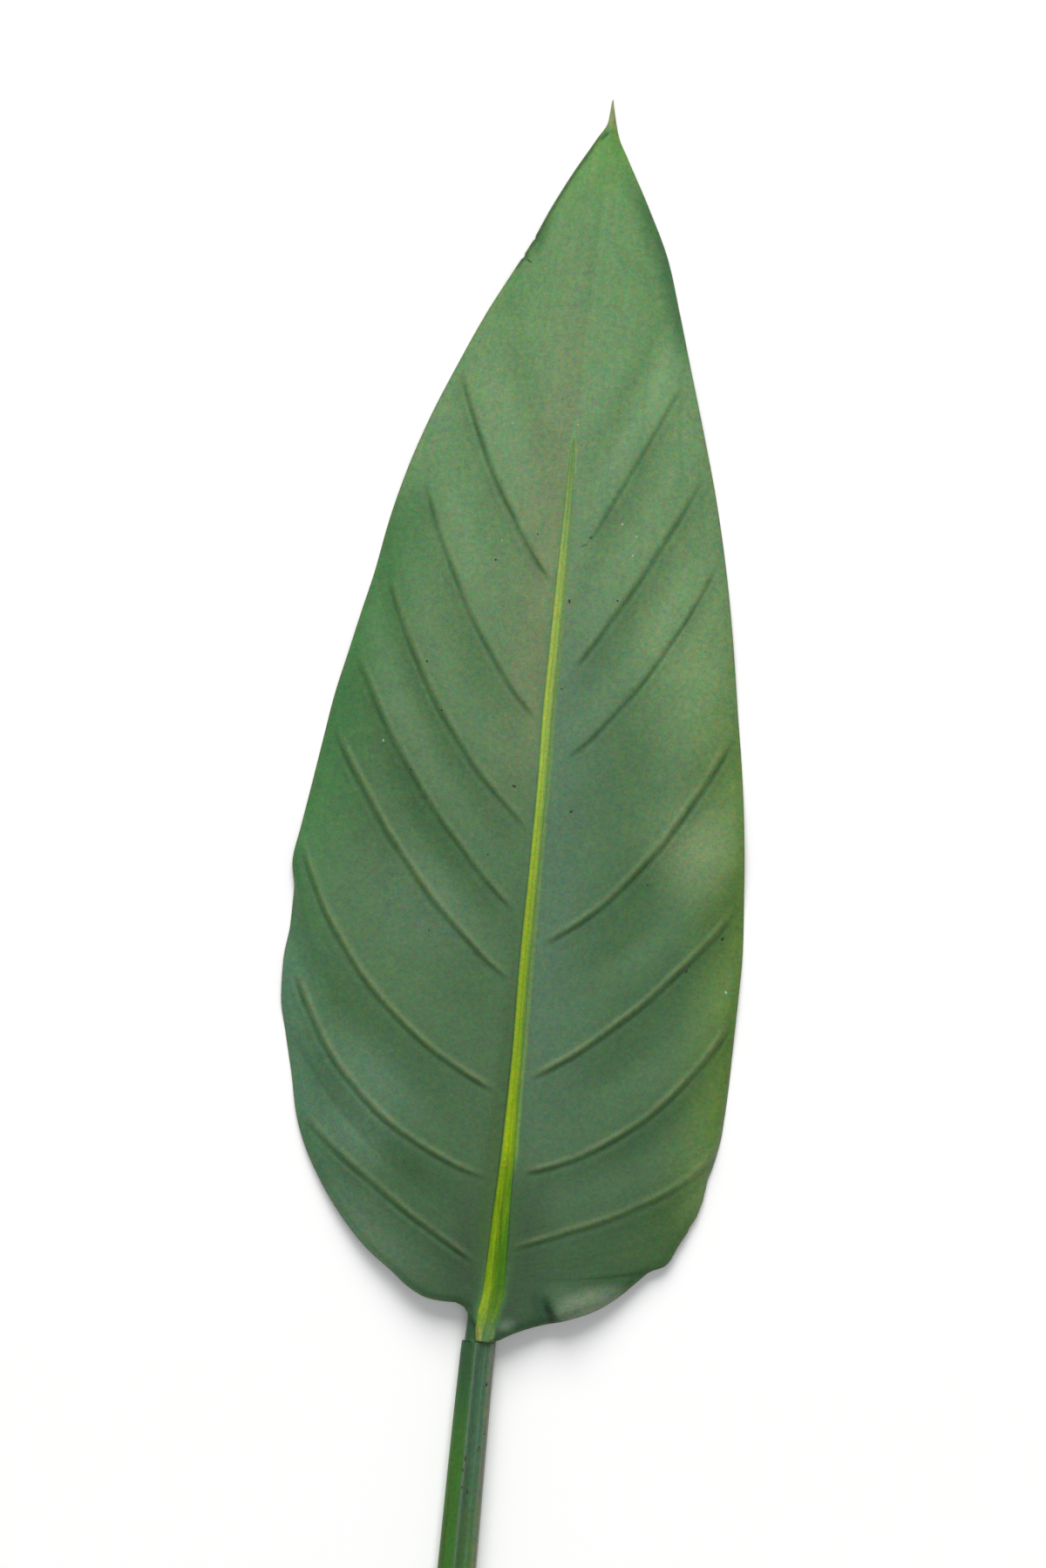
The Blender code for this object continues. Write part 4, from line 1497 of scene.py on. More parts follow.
@dataclass
class HalfBlade:
    """One half of the blade: its margin, its rays and its relief."""

    side: Side
    spine: Spine
    margin_points: Points
    margin_heights: Points
    base_rays: Points
    veins: tuple[Vein, ...]
    tip_rays: Points
    nicks: tuple[Nick, ...]
    softness: float
    fine_step: float = 0.42
    coarse_step: float = 1.9
    run_step: float = 1.9
    fine_reach: float = 3.2
    shoulder_line: float = 1.9
    roll_width: float = 1.7
    roll_drop: float = 0.6
    roll_runs: tuple[float, ...] = (370.0, 376.0, 418.0, 430.0)
    ridge_height: float = 0.2
    ridge_place: float = 5.0
    ridge_width: float = 3.0
    shoulder_rise: float = 0.12
    shoulder_width: float = 0.55
    gutter_place: float = 1.0
    gutter_width: float = 0.8
    gutter_roots: tuple[float, ...] = (60.0, 100.0, 260.0, 300.0)
    tangent_reach: float = 5.0
    line_step: float = 0.4
    soft_step: float = 0.25

    def __post_init__(self) -> None:
        """Fits the curves."""
        self.margin, self.margin_length = along(self.margin_points)
        self.margin_height = Curve(self.margin_heights)
        rays = [(v.root, v.run, v.bend, v.bow) for v in self.veins]
        last = (BLADE_LENGTH, self.margin_length, 0.5, 0.0)
        self.rays = Curve([*self.base_rays, *rays, *self.tip_rays, last])
        self.vein_roots = np.array([v.root for v in self.veins])
        self.margin_line = self.margin_end(np.arange(0.0, self.margin_length, self.line_step))
        self.soft = self.softened()

    def softened(self) -> Curve:
        """Ray length and margin height by root, smoothed over the margin's corners.

        Returns:
            The curve of both.
        """
        roots = np.arange(self.base_rays[0][0], BLADE_LENGTH + self.soft_step, self.soft_step)
        run = self.rays(roots)[:, 0]
        start = self.spine.middle(roots) + self.side * self.spine.half_width(roots)
        end = self.margin(run)
        length = np.hypot(end[:, 0] - start, end[:, 1] - roots)
        reach = int(math.ceil(3 * self.softness / self.soft_step))
        away = np.arange(-reach, reach + 1) * self.soft_step / self.softness
        bell = np.exp(-(away**2) / 2)
        rows = [
            np.convolve(np.pad(row, reach, "edge"), bell / bell.sum(), "valid")
            for row in (length, self.margin_height(run))
        ]
        return Curve(np.stack([roots, *rows], axis=-1))

    def from_margin(self, flat: np.ndarray) -> np.ndarray:
        """Distance from the margin.

        Args:
            flat: Points by ray and share, x and y.

        Returns:
            The distance of each.
        """
        way = np.gradient(self.margin_line, axis=0)
        way /= np.maximum(np.hypot(way[:, 0], way[:, 1]), 1e-9)[:, None]
        found = np.empty(flat.shape[:2])
        for i, row in enumerate(flat):
            away = row[:, None, :] - self.margin_line[None, :, :]
            nearest = (away**2).sum(axis=-1).argmin(axis=1)
            gap, local = away[np.arange(len(row)), nearest], way[nearest]
            aside = gap[:, 0] * local[:, 1] - gap[:, 1] * local[:, 0]
            past = np.abs((gap * local).sum(axis=-1)) - self.line_step
            found[i] = np.hypot(aside, np.maximum(past, 0.0))
        return found

    def rows(self) -> np.ndarray:
        """Roots of the half's rows up to the slot's end, close together at the veins.

        Returns:
            The roots in rising order.
        """
        roots = np.linspace(self.base_rays[0][0], SLOT_LENGTH, 6000)
        nearest = np.abs(roots[:, None] - self.vein_roots).min(axis=1)
        by_vein = np.exp(-((nearest / self.fine_reach) ** 2)) / self.fine_step
        by_run = np.gradient(self.rays(roots)[:, 0], roots) / self.run_step
        density = np.maximum(np.maximum(by_vein, 1 / self.coarse_step), by_run)
        passed = (density[1:] + density[:-1]) / 2 * np.diff(roots)
        count = np.concatenate([[0.0], np.cumsum(passed)])
        wanted = np.linspace(0.0, count[-1], int(math.ceil(count[-1])) + 1)
        return np.interp(wanted, count, roots)

    def surface(self, root: np.ndarray, share: np.ndarray) -> tuple[np.ndarray, dict]:
        """Points of the upper face, before the veins' ribs are raised.

        Args:
            root: Roots of the rays.
            share: Shares along a ray, from midrib to margin.

        Returns:
            Points by ray and share, and the values that the skin needs there, by name.
        """
        root, share = np.asarray(root, float)[:, None], np.asarray(share, float)[None, :]
        run, bend, bow = np.moveaxis(self.rays(root[:, 0]), -1, 0)[..., None]
        middle, half_width = self.spine.middle(root), self.spine.half_width(root)
        start = np.stack([middle + self.side * half_width, root], axis=-1)
        end = self.margin_end(run[:, 0])[:, None, :]
        chord = end - start
        outwards = np.stack([-chord[..., 1], chord[..., 0]], axis=-1) * -int(self.side)
        control = start + bend[..., None] * chord + bow[..., None] * outwards
        t = share[..., None]
        flat = (1 - t) ** 2 * start + 2 * t * (1 - t) * control + t**2 * end
        length = np.hypot(chord[..., 0], chord[..., 1])
        out = share * length
        edge = self.from_margin(flat)
        soft_length, soft_height = np.moveaxis(self.soft(root[:, 0]), -1, 0)[..., None]
        reached = out / soft_length
        droop = reached**DROOP_POWER
        z = self.spine.height(root) * (1 - droop) + soft_height * droop
        z = z + self.relief(root, reached, soft_length) + self.folds(flat)
        roll = self.roll(run, edge)
        ridge = np.exp(-(((edge - self.ridge_place) / self.ridge_width) ** 2))
        z = z - self.roll_drop * roll + self.ridge_height * ridge * self.rolled(run)
        z = z - edge_thinning(edge)
        values = {
            "root": root + 0 * share, "share": share + 0 * root, "edge": edge,
            "spine": out, "roll": roll,
        }
        return np.stack([flat[..., 0], flat[..., 1], z], axis=-1), values

    def margin_end(self, run: np.ndarray) -> np.ndarray:
        """The margin's points, with its nicks.

        Args:
            run: Distances along the margin.

        Returns:
            The point at each, x and y.
        """
        end = self.margin(run)
        step = self.tangent_reach
        tangent = self.margin(run + step) - self.margin(run - step)
        tangent /= np.maximum(np.hypot(tangent[:, 0], tangent[:, 1]), 1e-9)[:, None]
        inwards = np.stack([tangent[:, 1], -tangent[:, 0]], axis=-1) * -int(self.side)
        for nick in self.nicks:
            bite = nick.depth * np.exp(-(((run - nick.run) / nick.half_width) ** 2))
            end = end + inwards * bite[:, None]
        return end

    def rolled(self, run: np.ndarray) -> np.ndarray:
        """How much the margin rolls under: only the left one does, near the tip."""
        if self.side is Side.RIGHT:
            return np.zeros_like(run)
        return plateau(run, self.roll_runs)

    def roll(self, run: np.ndarray, edge: np.ndarray) -> np.ndarray:
        """The turned-under edge, from 0 inside it to 1 at the margin."""
        return self.rolled(run) * np.clip(1 - edge / self.roll_width, 0.0, 1.0)

    def relief(self, root: np.ndarray, share: np.ndarray, length: np.ndarray) -> np.ndarray:
        """How far the panels sag between the veins, with the low line beside the strip.

        Args:
            root: Roots of the rays.
            share: Shares along them.
            length: The rays' lengths.

        Returns:
            The height to add at each point.
        """
        ribs = np.array([self.base_rays[0][0], *self.vein_roots, SLOT_LENGTH])
        i = np.clip(np.searchsorted(ribs, root, side="right") - 1, 0, len(ribs) - 2)
        across = np.clip((root - ribs[i]) / (ribs[i + 1] - ribs[i]), 0.0, 1.0)
        sag = np.sin(math.pi * across) ** 2 * np.sin(math.pi * np.minimum(share, 1.0))
        depth = PANEL_SAG * np.minimum(1.0, length / FULL_SAG_FROM) * sag
        out = share * length
        line = np.exp(-(((out - self.shoulder_line) / self.shoulder_width) ** 2))
        gutter = np.exp(-(((out - self.gutter_place) / self.gutter_width) ** 2))
        shown = plateau(root, self.gutter_roots)
        return self.shoulder_rise * (line - gutter) * shown - depth

    def folds(self, flat: np.ndarray) -> np.ndarray:
        """Rise and fall of the blade in its creases and swells.

        Args:
            flat: Points, x and y.

        Returns:
            The height to add at each point.
        """
        x, y = flat[..., 0], flat[..., 1]
        total = np.zeros_like(x)
        for crease in CREASES:
            start, end = np.array(crease.start), np.array(crease.end)
            way = end - start
            length = math.hypot(*way)
            along_it = ((x - start[0]) * way[0] + (y - start[1]) * way[1]) / length**2
            right = (way[0] * (y - start[1]) - way[1] * (x - start[0])) / length
            grown = ease(along_it * crease.GROWTH) * ease((crease.END - along_it) / crease.FADE)
            fading = np.exp(-((np.maximum(right, 0.0) / crease.reach) ** 2))
            lifted = (0.5 + 0.5 * np.tanh(right / crease.STEP_WIDTH)) * fading
            groove = np.exp(-(((right + crease.width) / crease.width) ** 2))
            total += grown * (crease.rise * lifted - crease.depth * groove)
        for swell in SWELLS:
            turn = math.radians(swell.turn)
            dx, dy = x - swell.middle[0], y - swell.middle[1]
            u = (dx * math.cos(turn) + dy * math.sin(turn)) / swell.reach[0]
            v = (dy * math.cos(turn) - dx * math.sin(turn)) / swell.reach[1]
            total += swell.height * np.exp(-(u * u + v * v))
        return total


@dataclass
class Blade:
    """The green blade as one thin closed sheet, with raised veins."""

    spine: Spine
    growth: Growth
    columns: int = 48
    crowding: float = 0.62
    tip_step: float = 1.8
    rib_height: float = 0.46
    rib_width: float = 0.98
    ditch_depth: float = 0.34
    ditch_place: float = 1.75
    ditch_width: float = 0.82
    rim_bulge: float = 0.14
    point_reach: float = 1.1
    point_drop: float = 0.4
    tip_gap: float = 0.35
    vein_points: int = 120
    vein_overrun: float = 0.03
    vein_fade: tuple[float, float] = (0.08, 0.10)
    vein_change: float = 0.15
    halves: list[HalfBlade] = field(init=False)

    def __post_init__(self) -> None:
        """Sets up the two halves."""
        self.halves = [
            HalfBlade(Side.LEFT, self.spine, LEFT_MARGIN, LEFT_MARGIN_HEIGHT, LEFT_BASE_RAYS,
                      LEFT_VEINS, LEFT_TIP_RAYS, LEFT_NICKS, softness=0.3),
            HalfBlade(Side.RIGHT, self.spine, RIGHT_MARGIN, RIGHT_MARGIN_HEIGHT, RIGHT_BASE_RAYS,
                      RIGHT_VEINS, RIGHT_TIP_RAYS, RIGHT_NICKS, softness=3.2),
        ]

    def shares(self) -> np.ndarray:
        """Places of the columns along a ray, closer together at midrib and margin."""
        u = np.linspace(0.0, 1.0, self.columns)
        return u - self.crowding * np.sin(2 * math.pi * u) / (2 * math.pi)

    def top_sheet(self) -> tuple[np.ndarray, dict, list]:
        """The upper face of both halves, joined along the tip's midline.

        Returns:
            Its points, the values on them by name, and its faces.
        """
        shares = self.shares()
        last = BLADE_LENGTH - self.tip_gap
        tip_rows = np.linspace(SLOT_LENGTH, last, int((last - SLOT_LENGTH) / self.tip_step))
        points, faces, values, spine_ids = [], [], {}, None
        start = 0
        for half in self.halves:
            roots = np.concatenate([half.rows(), tip_rows[1:]])
            place, known = half.surface(roots, shares)
            known["side"] = np.full(place.shape[:2], float(half.side))
            count = place.shape[0] * place.shape[1]
            ids = np.arange(start, start + count).reshape(place.shape[:2])
            start += count
            first_tip = len(roots) - len(tip_rows)
            if spine_ids is None:
                spine_ids = ids[first_tip:, 0].copy()
            else:
                ids[first_tip:, 0] = spine_ids
            points.append(place.reshape(-1, 3))
            for name, value in known.items():
                values.setdefault(name, []).append(value.reshape(-1))
            quads = np.stack([ids[:-1, :-1], ids[:-1, 1:], ids[1:, 1:], ids[1:, :-1]], axis=-1)
            quads = quads.reshape(-1, 4)
            faces += (quads if half.side is Side.RIGHT else quads[:, ::-1]).tolist()
            half_tip = [(a, b, -1) for a, b in zip(ids[-1], ids[-1][1:])]
            faces += [face if half.side is Side.RIGHT else face[::-1] for face in half_tip]
        tip_height = float(self.spine.height(BLADE_LENGTH)) - self.point_drop
        points.append(np.array([[0.0, BLADE_LENGTH + self.point_reach, tip_height]]))
        ends = {"root": BLADE_LENGTH, "share": 0.5, "edge": 0.0, "spine": 0.0, "roll": 0.0,
                "side": 0.0}
        for name, value in ends.items():
            values[name].append(np.array([value]))
        points = np.concatenate(points)
        faces = [[len(points) - 1 if i < 0 else int(i) for i in face] for face in faces]
        return points, {name: np.concatenate(parts) for name, parts in values.items()}, faces

    def closed(self) -> Object:
        """The sheet with its underside and a rounded rim.

        Returns:
            The closed sheet.
        """
        top, values, faces = self.top_sheet()
        used = np.unique(np.concatenate([np.array(face) for face in faces]))
        renumber = np.full(len(top), -1)
        renumber[used] = np.arange(len(used))
        top = top[used]
        values = {name: value[used] for name, value in values.items()}
        faces = [[int(renumber[i]) for i in face] for face in faces]
        thickness = BLADE_THICKNESS - edge_thinning(values["edge"])
        bottom = top - np.stack([0 * thickness, 0 * thickness, thickness], axis=-1)
        count = len(top)
        border = self.border(faces)
        nexts = dict(border)
        rim_ids, rim_points, rim_from = {}, [], []
        before = {b: a for a, b in border}
        for a in nexts:
            ahead, behind = top[nexts[a]], top[before[a]]
            way = (ahead - behind)[:2]
            out = np.array([way[1], -way[0]]) / max(float(np.hypot(*way)), 1e-9)
            middle = (top[a] + bottom[a]) / 2
            rim_ids[a] = 2 * count + len(rim_points)
            rim_points.append([middle[0] + out[0] * self.rim_bulge,
                               middle[1] + out[1] * self.rim_bulge, middle[2]])
            rim_from.append(a)
        every = [*faces, *[[i + count for i in face[::-1]] for face in faces]]
        for a, b in border:
            every.append([b, a, rim_ids[a], rim_ids[b]])
            every.append([rim_ids[b], rim_ids[a], a + count, b + count])
        piece = new_piece("blade_skin", np.concatenate([top, bottom, rim_points]), every)
        for name, value in values.items():
            values[name] = np.concatenate([value, value, value[rim_from]])
        upper = np.concatenate([np.ones(count), np.zeros(count), np.full(len(rim_from), 0.5)])
        mark(piece, upper=upper, **values)
        return piece

    @staticmethod
    def border(faces: list) -> list[tuple[int, int]]:
        """Edges that only one face has, in that face's direction."""
        ways = {(a, b) for face in faces for a, b in zip(face, [*face[1:], face[0]])}
        return [(a, b) for a, b in ways if (b, a) not in ways]

    def vein_paths(self) -> Object:
        """Guide lines along the veins, with how strong each is along its length.

        Returns:
            The guide, an object of edges alone.
        """
        places, edges, ribs, ditches, tipwards = [], [], [], [], []
        for half in self.halves:
            for vein in half.veins:
                ends = vein.starts - self.vein_overrun, vein.ends + self.vein_overrun
                shares = np.linspace(*ends, self.vein_points)
                path, _ = half.surface(np.array([vein.root]), np.maximum(shares, 0.0))
                path = path[0]
                way = np.gradient(path, axis=0)[:, :2]
                way /= np.maximum(np.hypot(way[:, 0], way[:, 1]), 1e-9)[:, None]
                tipward = np.stack([-way[:, 1], way[:, 0], 0 * way[:, 0]], axis=-1)
                tipward *= np.sign(tipward[:, 1:2])
                run = np.concatenate([[0.0], np.cumsum(np.hypot(*np.diff(path[:, :2], axis=0).T))])
                path = path + tipward * self.wobble(run, vein.root)[:, None]
                start = len(places)
                places += path.tolist()
                edges += [(start + i, start + i + 1) for i in range(len(shares) - 1)]
                rise, fall = self.vein_fade
                shown = ease((shares - vein.starts) / rise) * ease((vein.ends - shares) / fall)
                shown *= 1 - self.vein_change + self.vein_change * np.sin(run / 3.7 + vein.root)
                ribs += (vein.rib * shown).tolist()
                ditches += (vein.ditch * shown).tolist()
                tipwards += tipward.tolist()
        guide = new_piece("vein_paths", np.array(places), [], edges)
        mark(guide, rib=np.array(ribs), ditch=np.array(ditches), tipward=np.array(tipwards))
        return guide

    @staticmethod
    def wobble(run: np.ndarray, seed: float) -> np.ndarray:
        """How far a vein strays from its smooth course, by the distance along it."""
        waves = ((0.12, 4.3, 1.7), (0.05, 1.9, 0.9))
        return sum(size * np.sin(run / length + seed * shift) for size, length, shift in waves)

    def build(self, upper: Material, under: Material) -> Object:
        """Builds and dresses the blade.

        Args:
            upper: Skin of the upper face.
            under: Skin of the underside.

        Returns:
            The finished blade.
        """
        piece, veins = self.closed(), self.vein_paths()
        grow(
            piece, self.growth.vein_relief(), Veins=veins, Rib_Height=self.rib_height * MM,
            Rib_Width=self.rib_width * MM, Ditch_Depth=self.ditch_depth * MM,
            Ditch_Place=self.ditch_place * MM, Ditch_Width=self.ditch_width * MM,
            Upper_Skin=upper, Under_Skin=under,
        )
        drop(veins)
        keep(piece, Slot.BLADE, "blade")
        return piece


@dataclass
class Swept:
    """A body swept along the leaf from rows of sizes and one section."""

    name: str
    distance: np.ndarray
    middle: np.ndarray
    half_width: np.ndarray
    bottom: np.ndarray
    shoulder: np.ndarray
    top: np.ndarray
    under_blade: np.ndarray
    section: dict[str, np.ndarray]
    sharp_degrees: float = 50.0

    def build(self, tree: Tree, skin_material: Material) -> Object:
        """Sweeps the body.

        Args:
            tree: The sweeping tree.
            skin_material: Its material.

        Returns:
            The plain finished object.
        """
        count, corners = len(self.distance), len(self.section["across"])
        line = np.stack([self.middle, self.distance, self.top], axis=-1)
        rail = new_piece("rail", line, [], [(i, i + 1) for i in range(count - 1)])
        mark(
            rail, middle=self.middle * MM, distance=self.distance * MM,
            half_width=self.half_width * MM, bottom=self.bottom * MM,
            shoulder=self.shoulder * MM, top=self.top * MM, under_blade=self.under_blade,
        )
        ring = np.zeros((corners, 3))
        ring[:, 0], ring[:, 2] = self.section["across"], self.section["rise"]
        outline = new_piece("section", ring, [], [(i, (i + 1) % corners) for i in range(corners)])
        mark(outline, **self.section)
        body = new_piece(self.name, np.zeros((3, 3)), [(0, 1, 2)])
        grow(body, tree, Rail=rail, Section=outline, Skin=skin_material)
        drop(rail, outline)
        body.data.set_sharp_from_angle(angle=math.radians(self.sharp_degrees))
        return body


@dataclass
class Stalk:
    """The stalk, with the keel that it sends up under the blade."""

    spine: Spine
    growth: Growth
    stalk_step: float = 3.0
    keel_step: float = 3.2
    underside_points: int = 36
    crest_points: int = 40
    arris_rise: float = 0.10
    arris_place: float = -0.12
    arris_width: float = 0.06
    cut_gap: float = 0.15
    joint: float = 0.3
    lip: float = 0.3
    lip_steps: tuple[float, ...] = (0.4, 0.7, 1.0)
    keel_gap: float = 1.1
    ear_step: float = 0.9
    ear_end: float = 16.0
    ear_fade: float = 8.0

    def section(self) -> dict[str, np.ndarray]:
        """The section from the left shoulder round the underside and back over the crest.

        Returns:
            Its numbers by name, one for each corner.
        """
        turn = math.pi * (1 + np.arange(self.underside_points) / (self.underside_points - 1))
        cosine, sine = np.cos(turn), np.abs(np.sin(turn))
        across_under = np.sign(cosine) * np.abs(cosine) ** UNDERSIDE_FULLNESS
        fall = FLAT_SPOT_DEPTH * sine**UNDERSIDE_FULLNESS
        over = np.cos(np.linspace(0.0, math.pi, self.crest_points + 2)[1:-1])
        arris = np.exp(-(((over - self.arris_place) / self.arris_width) ** 2))
        rise = Curve(STALK_CREST)(over) + self.arris_rise * arris
        zeros = np.zeros(self.underside_points)
        return {
            "across": np.concatenate([across_under, over]),
            "fall": np.concatenate([fall, 0 * over]),
            "rise": np.concatenate([zeros, rise]),
            "rise_under_blade": np.concatenate([zeros, Curve(KEEL_CREST)(over)]),
            "crest": np.concatenate([zeros, np.ones(len(over))]),
        }

    def build(self, skin_material: Material) -> Object:
        """Builds and dresses stalk and keel.

        Args:
            skin_material: The stalk's skin.

        Returns:
            The finished body.
        """
        steps = int(STALK_LENGTH / self.stalk_step), int(KEEL_LENGTH / self.keel_step)
        below = np.linspace(self.cut_gap - STALK_LENGTH, self.joint, steps[0])
        lip = self.joint + self.lip * np.array(self.lip_steps)
        under = np.linspace(self.joint + self.keel_gap, KEEL_LENGTH, steps[1])
        distance = np.concatenate([below, lip, under])
        below_blade = ease((distance - self.joint) / self.lip)
        keel_top = self.spine.height(distance) - KEEL_BELOW_SPINE
        top = Curve(STALK_TOP)(distance) * (1 - below_blade) + keel_top * below_blade
        bottom = Curve(STALK_UNDERSIDE)(distance)
        share = STALK_SHOULDER + (KEEL_SHOULDER - STALK_SHOULDER) * below_blade
        ear = below_blade * ease((self.ear_end - distance) / self.ear_fade) * self.ear_step / 2
        body = Swept(
            "stalk_body", distance, Curve(STALK_MIDDLE)(distance) + ear,
            Curve(STALK_HALF_WIDTH)(distance) - ear, bottom, bottom + share * (top - bottom), top,
            below_blade, self.section(),
        ).build(self.growth.sweep(), skin_material)
        keep(body, Slot.STALK, "stalk")
        return body


@dataclass
class MidribStrip:
    """The pale grooved strip along the upper side of the midrib."""

    spine: Spine
    growth: Growth
    step: float = 1.6
    crest_points: int = 26
    start: float = 0.95
    end: float = 291.6
    thinnest: float = 0.06
    flange_reach: float = 1.12
    flange_top: float = 0.45
    ring_place: float = 57.5
    ring_rise: float = 0.22
    ring_width: float = 0.6
    ring_steps: tuple[float, ...] = (-1.2, -0.8, -0.4, 0.0, 0.4, 0.8, 1.2)
    start_height: float = 0.3
    start_slope: float = 2.6

    def section(self) -> dict[str, np.ndarray]:
        """The section: a flange under the blade's edges, and the grooved crest above.

        Returns:
            Its numbers by name, one for each corner.
        """
        over = np.cos(np.linspace(0.0, math.pi, self.crest_points))
        reach, top = self.flange_reach, self.flange_top
        across = np.concatenate([[-reach, -reach, reach, reach], over])
        fall = np.concatenate([[top, 1.0, 1.0, top], 0 * over])
        rise = np.concatenate([np.zeros(4), Curve(STRIP_CREST)(over)])
        return {
            "across": across, "fall": fall, "rise": rise, "rise_under_blade": rise,
            "crest": np.concatenate([np.zeros(4), np.ones(len(over))]),
        }

    def build(self, skin_material: Material) -> None:
        """Builds and dresses the strip.

        Args:
            skin_material: The strip's skin.
        """
        distance = np.linspace(self.start, self.end, int(self.end / self.step))
        extra = self.ring_place + np.array(self.ring_steps)
        distance = np.unique(np.concatenate([distance, extra]))
        half_width = np.maximum(self.spine.half_width(distance), self.thinnest)
        level = self.spine.height(distance)
        scale = np.minimum(1.0, half_width / FULL_CREST_FROM)
        ring = np.exp(-(((distance - self.ring_place) / self.ring_width) ** 2))
        grown = ease((distance - self.start) / self.start_slope)
        scale = scale * (self.start_height + (1 - self.start_height) * grown)
        body = Swept(
            "midrib_strip", distance, self.spine.middle(distance), half_width,
            level - BLADE_THICKNESS, level, level + scale + self.ring_rise * ring, 0 * distance,
            self.section(),
        ).build(self.growth.sweep(), skin_material)
        keep(body, Slot.MIDRIB, "midrib")


@dataclass
class CutEnd:
    """The stalk's cut face, with the ends of its fibres."""

    stalk: Stalk
    growth: Growth
    rings: int = 9
    depth: float = 1.2
    inset: float = 0.985
    bevel_depth: float = 0.18
    bevel_from: float = 0.9
    hollow: float = 0.05
    sharp_degrees: float = 35.0

    def outline(self) -> np.ndarray:
        """The stalk's outline at the cut: x and z.

        Returns:
            Its corners, one a row.
        """
        section = self.stalk.section()
        y = -STALK_LENGTH
        middle, half_width = float(Curve(STALK_MIDDLE)(y)), float(Curve(STALK_HALF_WIDTH)(y))
        bottom, top = float(Curve(STALK_UNDERSIDE)(y)), float(Curve(STALK_TOP)(y))
        shoulder = bottom + STALK_SHOULDER * (top - bottom)
        x = middle + half_width * section["across"]
        z = shoulder + section["rise"] * (top - shoulder) - section["fall"] * (shoulder - bottom)
        return np.stack([x, np.maximum(z, bottom)], axis=-1)

    def build(self, flesh: Material, fibre: Material) -> None:
        """Builds and dresses the cut face and its fibres.

        Args:
            flesh: Skin of the face.
            fibre: Skin of the fibre ends.
        """
        outline = self.outline()
        centre = outline.mean(axis=0)
        corners = len(outline)
        shares = np.linspace(1.0, 0.0, self.rings + 1)[:-1]
        points, inwards = [], []
        back = -STALK_LENGTH + self.depth
        for x, z in centre + (outline - centre) * self.inset:
            points.append((x, back, z))
            inwards.append(0.0)
        for share in shares:
            beyond = max(0.0, (share - self.bevel_from) / (1 - self.bevel_from))
            y = -STALK_LENGTH + self.bevel_depth * beyond
            for x, z in centre + (outline - centre) * (share * self.inset):
                points.append((x, y, z))
                inwards.append(1 - share)
        points.append((centre[0], -STALK_LENGTH + self.hollow, centre[1]))
        inwards.append(1.0)
        faces = [list(range(corners))[::-1]]
        for ring in range(self.rings):
            for i in range(corners):
                j = (i + 1) % corners
                a, b = ring * corners, (ring + 1) * corners
                faces.append([a + i, a + j, b + j, b + i])
        last = self.rings * corners
        faces += [[last + i, last + (i + 1) % corners, len(points) - 1] for i in range(corners)]
        face = new_piece("cut_face", np.array(points), faces)
        mark(face, inwards=np.array(inwards))
        face.data.materials.append(flesh)
        face.data.shade_smooth()
        face.data.set_sharp_from_angle(angle=math.radians(self.sharp_degrees))
        fibres = new_piece("cut_fibres", np.array(points), faces)
        mark(fibres, inwards=np.array(inwards))
        grow(fibres, self.growth.cut_fibres(), Skin=fibre)
        keep(face, Slot.STALK)
        keep(fibres, Slot.STALK)


@dataclass(frozen=True)
class Fleck:
    """A fleck on the skin: x, y, radius, how much longer than wide, and its turn in degrees."""

    x: float
    y: float
    radius: float
    stretch: float = 1.0
    turn: float = 0.0


PALE_FLECKS = (
    Fleck(-51.2, 188.8, 0.45), Fleck(17.6, 265.8, 0.4), Fleck(22.5, 262.4, 0.35),
    Fleck(22.0, 256.2, 0.35), Fleck(-0.1, 296.0, 0.3), Fleck(-21.0, 294.3, 0.28),
    Fleck(-20.3, 256.6, 0.28), Fleck(66.9, 120.2, 0.4, 1.5, 30.0),
)
DARK_FLECKS = (
    Fleck(-40.0, 215.6, 0.4), Fleck(-21.6, 250.3, 0.38), Fleck(-9.1, 259.8, 0.3),
    Fleck(3.3, 239.5, 0.35, 2.0, 10.0), Fleck(18.6, 241.4, 0.35), Fleck(3.8, 211.4, 0.3),
    Fleck(-7.9, 178.8, 0.4, 1.8, 70.0), Fleck(11.1, 172.7, 0.38, 1.6, -50.0),
    Fleck(-13.9, 156.2, 0.3), Fleck(-33.6, 200.5, 0.35), Fleck(-41.3, 180.6, 0.35),
    Fleck(63.9, 137.3, 0.45, 1.6, -30.0), Fleck(53.4, 125.8, 0.45, 1.4, -20.0),
    Fleck(38.0, 152.0, 0.3), Fleck(-30.0, 130.0, 0.28),
)
STALK_FLECKS = (
    Fleck(-0.2, -36.9, 0.36, 2.6, 3.0), Fleck(-0.6, -40.6, 0.3, 2.0, 8.0),
    Fleck(-0.3, -46.2, 0.28, 2.2, -6.0), Fleck(1.6, -47.4, 0.26, 3.0, 6.0),
    Fleck(4.0, -12.8, 0.34, 1.8, 0.0), Fleck(5.0, -28.6, 0.22, 1.6, 4.0),
    Fleck(3.9, -33.0, 0.24, 2.2, -5.0), Fleck(1.2, -92.0, 0.3, 2.4, 2.0),
    Fleck(3.4, -131.0, 0.32, 2.2, 5.0), Fleck(0.4, -168.0, 0.28, 2.6, -3.0),
    Fleck(4.8, -205.0, 0.3, 2.0, 6.0),
)


